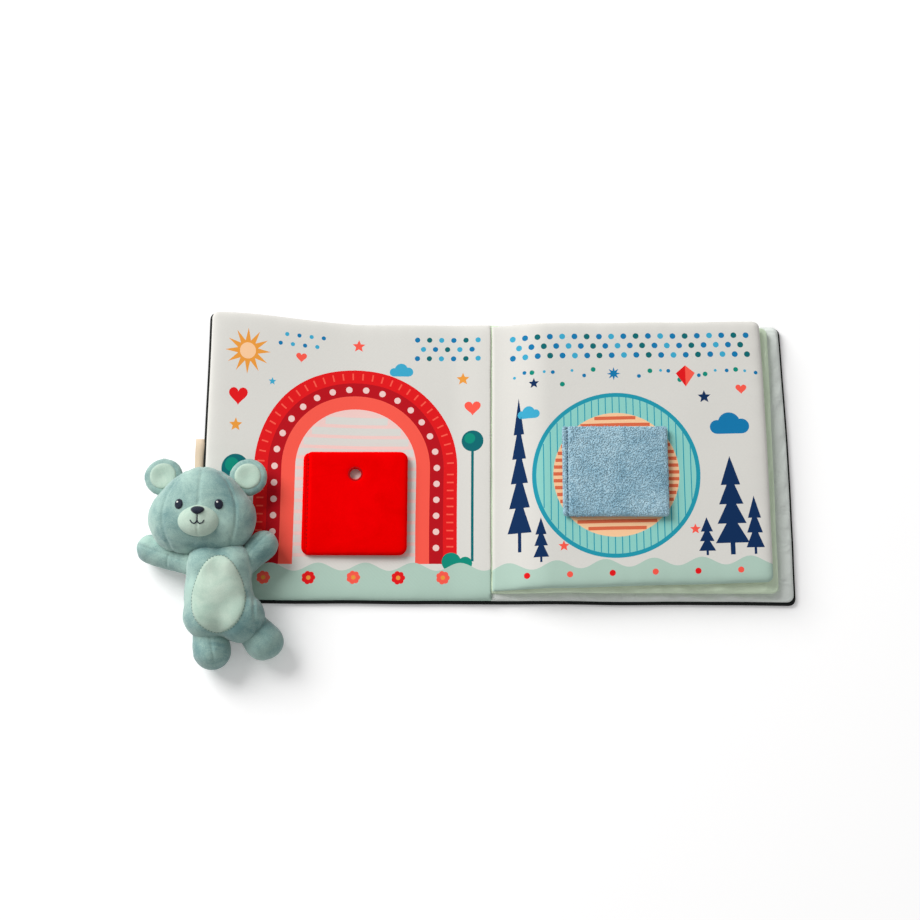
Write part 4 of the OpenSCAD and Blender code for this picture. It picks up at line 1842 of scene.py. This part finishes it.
@dataclass
class Patch:
    """Shapes that are sewn onto a stuffed form: thin pads that follow the form.

    Attributes:
        name: The name of the piece.
        centres: The middle of each shape.
        reach: Where its edge is from the middle, by the angle.
        height: How far it stands up, in millimetres.
        rings: How many rings of faces it has.
        spokes: How many points are in a ring.
    """

    name: str
    centres: list[Point]
    reach: Callable[[float], Point]
    height: float
    rings: int = 10
    spokes: int = 48

    def build(self, skin: Skin) -> Object:
        """Makes the patches on a skin.

        Args:
            skin: What they are sewn onto.

        Returns:
            The piece.
        """
        shell = bmesh.new()
        sunk, depth, flatness = -0.2, -0.7, 6
        for cx, cy in self.centres:
            rim = self.ring(shell, skin, (cx, cy), 1.0, sunk)
            for crown in (self.height, depth):
                rings = [rim]
                for k in range(self.rings - 1, 0, -1):
                    share = k / self.rings
                    puff = crown * (1 - share ** flatness) ** 0.5
                    rings.append(self.ring(shell, skin, (cx, cy), share, puff))
                middle = shell.verts.new((cx * MM, cy * MM, (skin.top(cx, cy) + crown) * MM))
                self.cover(shell, rings, middle)
        bmesh.ops.recalc_face_normals(shell, faces=shell.faces)
        return from_shell(self.name, shell)

    def ring(self, shell: Shell, skin: Skin, centre: Point, share: float,
             puff: float) -> list[Vert]:
        """Adds one ring of points.

        Args:
            shell: What it is added to.
            skin: What the patch is sewn onto.
            centre: The middle of the shape.
            share: How far out the ring is, as a share.
            puff: Its height over the skin.

        Returns:
            The points.
        """
        result = []
        for i in range(self.spokes):
            ox, oy = self.reach(math.tau * i / self.spokes)
            x, y = centre[0] + ox * share, centre[1] + oy * share
            result.append(shell.verts.new((x * MM, y * MM, (skin.top(x, y) + puff) * MM)))
        return result

    @staticmethod
    def cover(shell: Shell, rings: list[list[Vert]], middle: Vert) -> None:
        """Fills the faces between rings and out from the middle.

        Args:
            shell: What they are added to.
            rings: The rings, from the outer one inwards.
            middle: The point in the middle.
        """
        for outer, inner in zip(rings, rings[1:]):
            for i, vert in enumerate(outer):
                j = (i + 1) % len(outer)
                shell.faces.new((vert, outer[j], inner[j], inner[i]))
        last = rings[-1]
        for i, vert in enumerate(last):
            shell.faces.new((vert, last[(i + 1) % len(last)], middle))


def oval(rx: float, ry: float, taper: float = 0.0) -> Callable[[float], Point]:
    """The reach of an oval.

    Args:
        rx: Half its width.
        ry: Half its height.
        taper: How much it narrows towards its top.

    Returns:
        Where its edge is from the middle, by the angle.
    """

    def reach(angle: float) -> Point:
        """The edge at an angle."""
        wide = rx * (1 - taper * math.sin(angle))
        return wide * math.cos(angle), ry * math.sin(angle)

    return reach


@dataclass
class Bear:
    """The stuffed bear that lies on the corner of the front cover.

    Attributes:
        wardrobe: The finishes.
        garnish: The stitches.
        head: The box of the head.
        cover: The box of the front cover.
        page_z: The height of the page under the bear, in millimetres.
        ear_r: The radius of an ear.
        far: What a seam answers where it doesn't run.
        pieces: What is ready.
    """

    wardrobe: Wardrobe
    garnish: Garnish
    head: Box = box_of("bear_head")
    cover: Box = box_of("front_cover_outer")
    page_z: float = field(default_factory=lambda: Box.of("front_cover_lining").z1 + 0.6)
    ear_r: float = 14.5
    far: float = 9.0
    pieces: list[Object] = field(default_factory=list)

    def rest(self, x: float, y: float) -> float:
        """The height of what lies under the bear: the page or the table.

        Args:
            x: The point along X.
            y: The point along Y.

        Returns:
            The height.
        """
        clear, edge, table = 0.1, 0.3, 3.0
        out = max(self.cover.x0 - x, self.cover.y0 - y)
        return self.page_z * (1 - smooth(out, edge, table)) + clear

    def at(self, dx: float, dy: float, z: float) -> Triple:
        """A place given from the middle of the head, with its own height."""
        middle = self.head.centre
        return (middle.x + dx, middle.y + dy, z)

    def keep(self, piece: Object, material: Material, node: str, fill: float = 0.8) -> Object:
        """Puts a piece of the bear in place of its CAD node on the front cover.

        Args:
            piece: The piece.
            material: Its cloth.
            node: The CAD node.
            fill: How firmly it is stuffed; not used.

        Returns:
            The piece.
        """
        dress(piece, material)
        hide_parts(node)
        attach(piece, "front_cover")
        self.pieces.append(piece)
        tell(piece)
        return piece

    def limb(self, node: str, start: Triple,
             end: Triple, r0: float, r1: float) -> Object:
        """Makes an arm or a leg, thick at its far end, with a seam along it.

        Args:
            node: The CAD node.
            start: Where it starts, from the middle of the head, and the height there.
            end: Where it ends.
            r0: Its radius at the start.
            r1: Its radius at the end.

        Returns:
            The piece.
        """
        a, b = Vector(self.at(*start)), Vector(self.at(*end))
        count = 6
        balls = [Ball(tuple(a.lerp(b, i / (count - 1))), (r, r, r))
                 for i in range(count)
                 for r in [r0 + (r1 - r0) * smooth(i / (count - 1), 0.2, 1)]]
        along = (b - a).normalized()
        across = Vector((-along.y, along.x, 0)).normalized()

        def side_seam(p: Vector) -> float:
            """The seam along the upper side."""
            off = (p - a).dot(across)
            return off - 1.5 if p.z > (a.z + b.z) / 2 else self.far

        def crease(p: Vector) -> float:
            """A crease where the limb bends."""
            bend = (p - a).dot(along) - 0.42 * (b - a).length - 1.5 * wobble(p.x / 6, p.y / 6)
            return bend if p.z > a.z and (p - a).dot(across) > 0 else self.far

        form = Stuffed(f"{node}_form", balls, voxel=1.6, seams=[side_seam, crease],
                       seam_depth=0.5, seam_width=0.9, floor=self.rest)
        return self.keep(form.build(), self.wardrobe.sage, node)

    def head_forms(self) -> Object:
        """Makes the head with its muzzle.

        Returns:
            The muzzle.
        """
        mid, top = self.head.centre, self.head.z1

        def middle_seam(p: Vector) -> float:
            """The seam from the crown down to the brow."""
            return p.x - mid.x if p.z > mid.z and p.y > mid.y - 2 else self.far

        def cheek_seam(p: Vector) -> float:
            """The bowed seams round both cheeks."""
            bow = 26 - 0.012 * (p.y - mid.y + 6) ** 2
            return abs(p.x - mid.x) - bow if p.z > mid.z - 4 else self.far

        def chin_seam(p: Vector) -> float:
            """The seam from the nose to the chin."""
            return p.x - mid.x if p.z > top - 4 and p.y < mid.y - 6 else self.far

        # Each ball: its place from the middle of the head, its height and its radii.
        balls = [Ball(self.at(0, 1, mid.z), (33, 31, 21)),
                 Ball(self.at(-11, -5, mid.z - 1), (28, 26, 19.5)),
                 Ball(self.at(11, -5, mid.z - 1), (28, 26, 19.5)),
                 Ball(self.at(0, 9, mid.z), (27, 24, 19))]
        form = Stuffed("bear_head_form", balls, seams=[middle_seam, cheek_seam],
                       seam_depth=0.7, seam_width=0.9, floor=self.rest)
        self.keep(form.build(), self.wardrobe.sage, "bear_head")
        muzzle = Stuffed("bear_muzzle_form", [
            Ball(self.at(0, -10, top - 6), (15.5, 12, 8.5)),
            Ball(self.at(0, -7, top - 4), (10, 8, 7.5))], voxel=1.4, lumps=0.3,
            seams=[chin_seam], seam_depth=0.5, seam_width=0.8)
        return self.keep(muzzle.build(), self.wardrobe.pale, "bear_muzzle")

    def face(self, muzzle: Object) -> None:
        """Embroiders the eyes, the nose and the mouth.

        Args:
            muzzle: The muzzle.
        """
        mid = self.head.centre
        navy = self.wardrobe.navy
        skin = Skin(self.pieces[0], muzzle)
        nose = Patch("bear_nose_form", [(mid.x, mid.y - 4.5)], oval(4.8, 3.2, -0.25), 1.6,
                     rings=6, spokes=32)
        self.keep(nose.build(skin), navy, "bear_nose", 0.5)
        spots = [(mid.x + side * 14, mid.y + 1) for side in (-1, 1)]
        eyes = Patch("bear_eyes_form", spots, oval(3.1, 3.9), 1.1, rings=6, spokes=28)
        self.keep(eyes.build(skin), navy, "bear_eyes", 0.5)
        glints = Patch("bear_eye_glints", [(x - 0.9, y + 1.3) for x, y in spots],
                       oval(0.9, 0.9), 1.5, rings=4, spokes=16)
        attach(dress(glints.build(skin), self.wardrobe.white), "front_cover")
        smile = [(-4.6, -12.0), (-3.6, -13.4), (-2.0, -14.0), (-0.7, -13.2), (0.0, -11.6),
                 (0.0, -8.0), (0.0, -11.6), (0.7, -13.2), (2.0, -14.0), (3.6, -13.4),
                 (4.6, -12.0)]
        line = [Vector((mid.x + x, mid.y + y, skin.top(mid.x + x, mid.y + y) + 0.15))
                for x, y in smile]
        self.garnish.row("bear_mouth_stitches", line, navy, Body.FRONT, spacing=0.7,
                         length=1.6, radius=0.45)

    def ears(self) -> None:
        """Makes both ears, dished, with their pale linings."""
        r = self.ear_r
        for side in ("left", "right"):
            ear = Box.of(f"bear_{side}_ear").centre

            def dish(p: Vector) -> float:
                """The hollow in the front of the ear."""
                return math.hypot(p.x - ear.x, p.y - ear.y) if p.z > ear.z else 99.0

            form = Stuffed(f"bear_{side}_ear_form", [Ball(tuple(ear), (r, r, 5.0))],
                           voxel=1.4, lumps=0.35, seams=[dish], seam_depth=2.4,
                           seam_width=r * 0.5).build()
            self.keep(form, self.wardrobe.sage, f"bear_{side}_ear")
            lining = Patch(f"bear_{side}_ear_lining_form", [(ear.x, ear.y)],
                           oval(r * 0.68, r * 0.68), 0.7)
            self.keep(lining.build(Skin(form)), self.wardrobe.pale,
                      f"bear_{side}_ear_lining")

    def build(self) -> list[Object]:
        """Makes the bear.

        Returns:
            Its pieces.
        """
        muzzle = self.head_forms()
        self.face(muzzle)
        mid = self.head.centre

        def flank_seam(p: Vector) -> float:
            """The seams down both sides of the body."""
            bow = 22 + 0.12 * (mid.y - 30 - p.y)
            return abs(p.x - mid.x - 13) - bow if p.z > 20 else self.far

        torso = [Ball(self.at(5, -39, 25), (17, 17, 17)), Ball(self.at(21, -39, 25), (17, 17, 17)),
                 Ball(self.at(13, -57, 24), (25, 24, 18)), Ball(self.at(6, -73, 22), (18, 18, 18)),
                 Ball(self.at(29, -75, 22), (18, 18, 18))]
        body = Stuffed("bear_body_form", torso, seams=[flank_seam], floor=self.rest).build()
        self.keep(body, self.wardrobe.sage, "bear_body")
        self.limb("bear_left_arm", (-8, -36, 22), (-38, -24, 13), 9.2, 11)
        self.limb("bear_right_arm", (30, -37, 23), (43, -22, 20), 9.2, 11)
        self.limb("bear_left_leg", (6, -80, 18), (9, -97, 14), 11.8, 14)
        self.limb("bear_right_leg", (34, -78, 18), (45, -90, 14), 11.8, 14)
        self.ears()
        skin = Skin(body)
        shape = oval(19, 27.5, 0.2)
        cx, cy = mid.x + 15, mid.y - 60.5
        belly = Patch("bear_belly_patch_form", [(cx, cy)], shape, 1.3, rings=14, spokes=64)
        self.keep(belly.build(skin), self.wardrobe.pale, "bear_belly_patch")
        spokes, share = 72, 0.97
        line = [Vector((cx + share * ox, cy + share * oy,
                        skin.top(cx + share * ox, cy + share * oy) + 0.4))
                for ox, oy in (shape(math.tau * i / spokes) for i in range(spokes))]
        self.garnish.row("bear_belly_stitches", line, self.wardrobe.sage_thread, Body.FRONT,
                         spacing=2.4, length=1.5, radius=0.22, closed=True)
        return self.pieces


@dataclass
class Tether:
    """The tape that ties the bear to the front cover.

    Attributes:
        wardrobe: The finishes.
        box: The box of the tape.
        width: Its width, in millimetres like every length here.
        thick: Its thickness.
        tuck: How far it lies inside its box.
    """

    wardrobe: Wardrobe
    box: Box = box_of("tether_tape")
    width: float = 8.0
    thick: float = 0.8
    tuck: float = 2.0

    def ribbon(self, shell: Shell, route: list[tuple[Vector, Vector]]) -> None:
        """Adds a flat tape.

        Args:
            shell: What it is added to.
            route: The middles of the tape and its half widths.
        """
        deep = Vector((0, 0, self.thick / 2))
        rings = []
        for middle, half in route:
            corners = (middle - half - deep, middle + half - deep, middle + half + deep,
                       middle - half + deep)
            rings.append([shell.verts.new(c * MM) for c in corners])
        for low, high in zip(rings, rings[1:]):
            for i in range(4):
                j = (i + 1) % 4
                shell.faces.new((low[i], low[j], high[j], high[i]))
        shell.faces.new(rings[0][::-1])
        shell.faces.new(rings[-1])

    def build(self) -> Object:
        """Makes the folded tape.

        Returns:
            The piece.
        """
        half = self.width / 2
        x = self.box.x0 + half + self.tuck
        shell = bmesh.new()
        level = Vector((half, 0, 0))
        # The place along Y and the height: from the seam, past the fold, under the bear.
        down = [(16.0, 3.8), (15.4, 4.3), (12, 4.6), (8, 4.2), (3, 3.0), (-4, 1.5),
                (-12, 0.9), (-30, 0.7), (-58, 0.7), (-70, 2.2), (-78, 6.5), (-86, 14)]
        route = []
        under = 8
        for n, (y, z) in enumerate(down):
            drift = 0.5 * (n - under) if n > under else 0.25 * math.sin(n)
            route.append((Vector((x + drift, y, z)), level))
        self.ribbon(shell, route)
        # The sewn end runs into the side seam.
        seam_y, seam_z, step = 12, 3.3, 4.5
        stub = [(Vector((x - half + i * step, seam_y, seam_z)), Vector((0, half, 0)))
                for i in range(4)]
        self.ribbon(shell, stub)
        bmesh.ops.recalc_face_normals(shell, faces=shell.faces)
        piece = dress(from_shell("tether_tape_cloth", shell), self.wardrobe.tape)
        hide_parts("tether_tape")
        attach(piece, "front_cover")
        return piece


# The studio and the whole scene


@dataclass
class Studio:
    """The pale floor, the soft light and the camera.

    Attributes:
        target: What the camera looks at, in metres.
        elevation: Its angle over the floor, in degrees.
        distance: Its distance from the target, in metres.
        focal_px: Its focal length in pixels of the photograph.
        frame_px: The width of the photograph in pixels.
        roll: Its turn about its own axis, in radians.
        key_spot: Where the lamp hangs, in metres.
        key_power: Its power in watts.
        key_size: Its size in metres.
        sky: The strength of the light all round.
        glow: What the floor adds for the camera and for reflections.
        floor_size: The side of the floor in metres.
    """

    target: Triple = (-0.0261, 0.002, 0.0)
    elevation: float = 74.517
    distance: float = 1.2662
    focal_px: float = 1724.36
    frame_px: float = 920.0
    roll: float = 0.004
    key_spot: Triple = (-2.7, 2.2, 2.5)
    key_power: float = 190.0
    key_size: float = 2.6
    sky: float = 0.38
    glow: float = 0.18
    floor_size: float = 6.0

    def floor(self) -> None:
        """Lays the floor, white to the camera and still dark in the shadow."""
        bpy.ops.mesh.primitive_plane_add(size=self.floor_size)
        plane = bpy.context.object
        plane.name = "floor"
        material = bpy.data.materials.new("Studio floor")
        material.use_nodes = True
        tree = Tree(material.node_tree)
        shader = material.node_tree.nodes["Principled BSDF"]
        shader.inputs["Base Color"].default_value = (0.96, 0.955, 0.955, 1)
        shader.inputs["Roughness"].default_value = 0.9
        shader.inputs["Specular IOR Level"].default_value = 0.1
        path = tree.node("ShaderNodeLightPath")
        shader.inputs["Emission Color"].default_value = (1, 1, 1, 1)
        seen = tree.math("MAXIMUM", path.outputs["Is Camera Ray"],
                         tree.math("MAXIMUM", path.outputs["Is Glossy Ray"],
                                   path.outputs["Is Transmission Ray"]))
        tree.feed(shader.inputs["Emission Strength"], tree.math("MULTIPLY", seen, self.glow))
        plane.data.materials.append(material)

    def lamps(self) -> None:
        """Hangs one large soft lamp behind on the left and lights the world plainly."""
        world = bpy.data.worlds.new("Studio")
        bpy.context.scene.world = world
        world.use_nodes = True
        sky = world.node_tree.nodes["Background"]
        sky.inputs["Color"].default_value = (1, 1, 1, 1)
        sky.inputs["Strength"].default_value = self.sky
        data = bpy.data.lights.new("key", "AREA")
        data.energy = self.key_power
        data.size = self.key_size
        lamp = bpy.data.objects.new("key", data)
        lamp.location = self.key_spot
        aim = Vector(self.target) - Vector(self.key_spot)
        lamp.rotation_euler = aim.to_track_quat("-Z", "Y").to_euler()
        bpy.context.scene.collection.objects.link(lamp)

    def camera(self) -> None:
        """Sets the camera at the angle of the photograph."""
        data = bpy.data.cameras.new("camera")
        data.sensor_width = 36.0
        data.lens = data.sensor_width * self.focal_px / self.frame_px
        data.clip_end = 20.0
        eye = bpy.data.objects.new("camera", data)
        rise = math.radians(self.elevation)
        back = Vector((0, -math.cos(rise), math.sin(rise)))
        turn = (-back).to_track_quat("-Z", "Y").to_matrix().to_4x4()
        eye.matrix_world = (Matrix.Translation(Vector(self.target) + back * self.distance)
                            @ turn @ Matrix.Rotation(self.roll, 4, "Z"))
        bpy.context.scene.collection.objects.link(eye)
        bpy.context.scene.camera = eye

    def build(self) -> None:
        """Sets the whole studio."""
        self.camera()
        self.floor()
        self.lamps()
        bpy.context.scene.view_settings.view_transform = "Standard"


def main() -> None:
    """Builds the studio and every piece of the book."""
    logging.basicConfig(level=logging.INFO, format="%(message)s")
    Studio().build()
    wardrobe = Wardrobe()
    garnish = Garnish()
    pieces = OpenBook(wardrobe).build()
    pieces += Flaps(wardrobe, garnish).build()
    pieces.append(Tether(wardrobe).build())
    pieces += Bear(wardrobe, garnish).build()
    LOG.info("%d main pieces are in place", len(pieces))


if __name__ == "__main__":
    main()
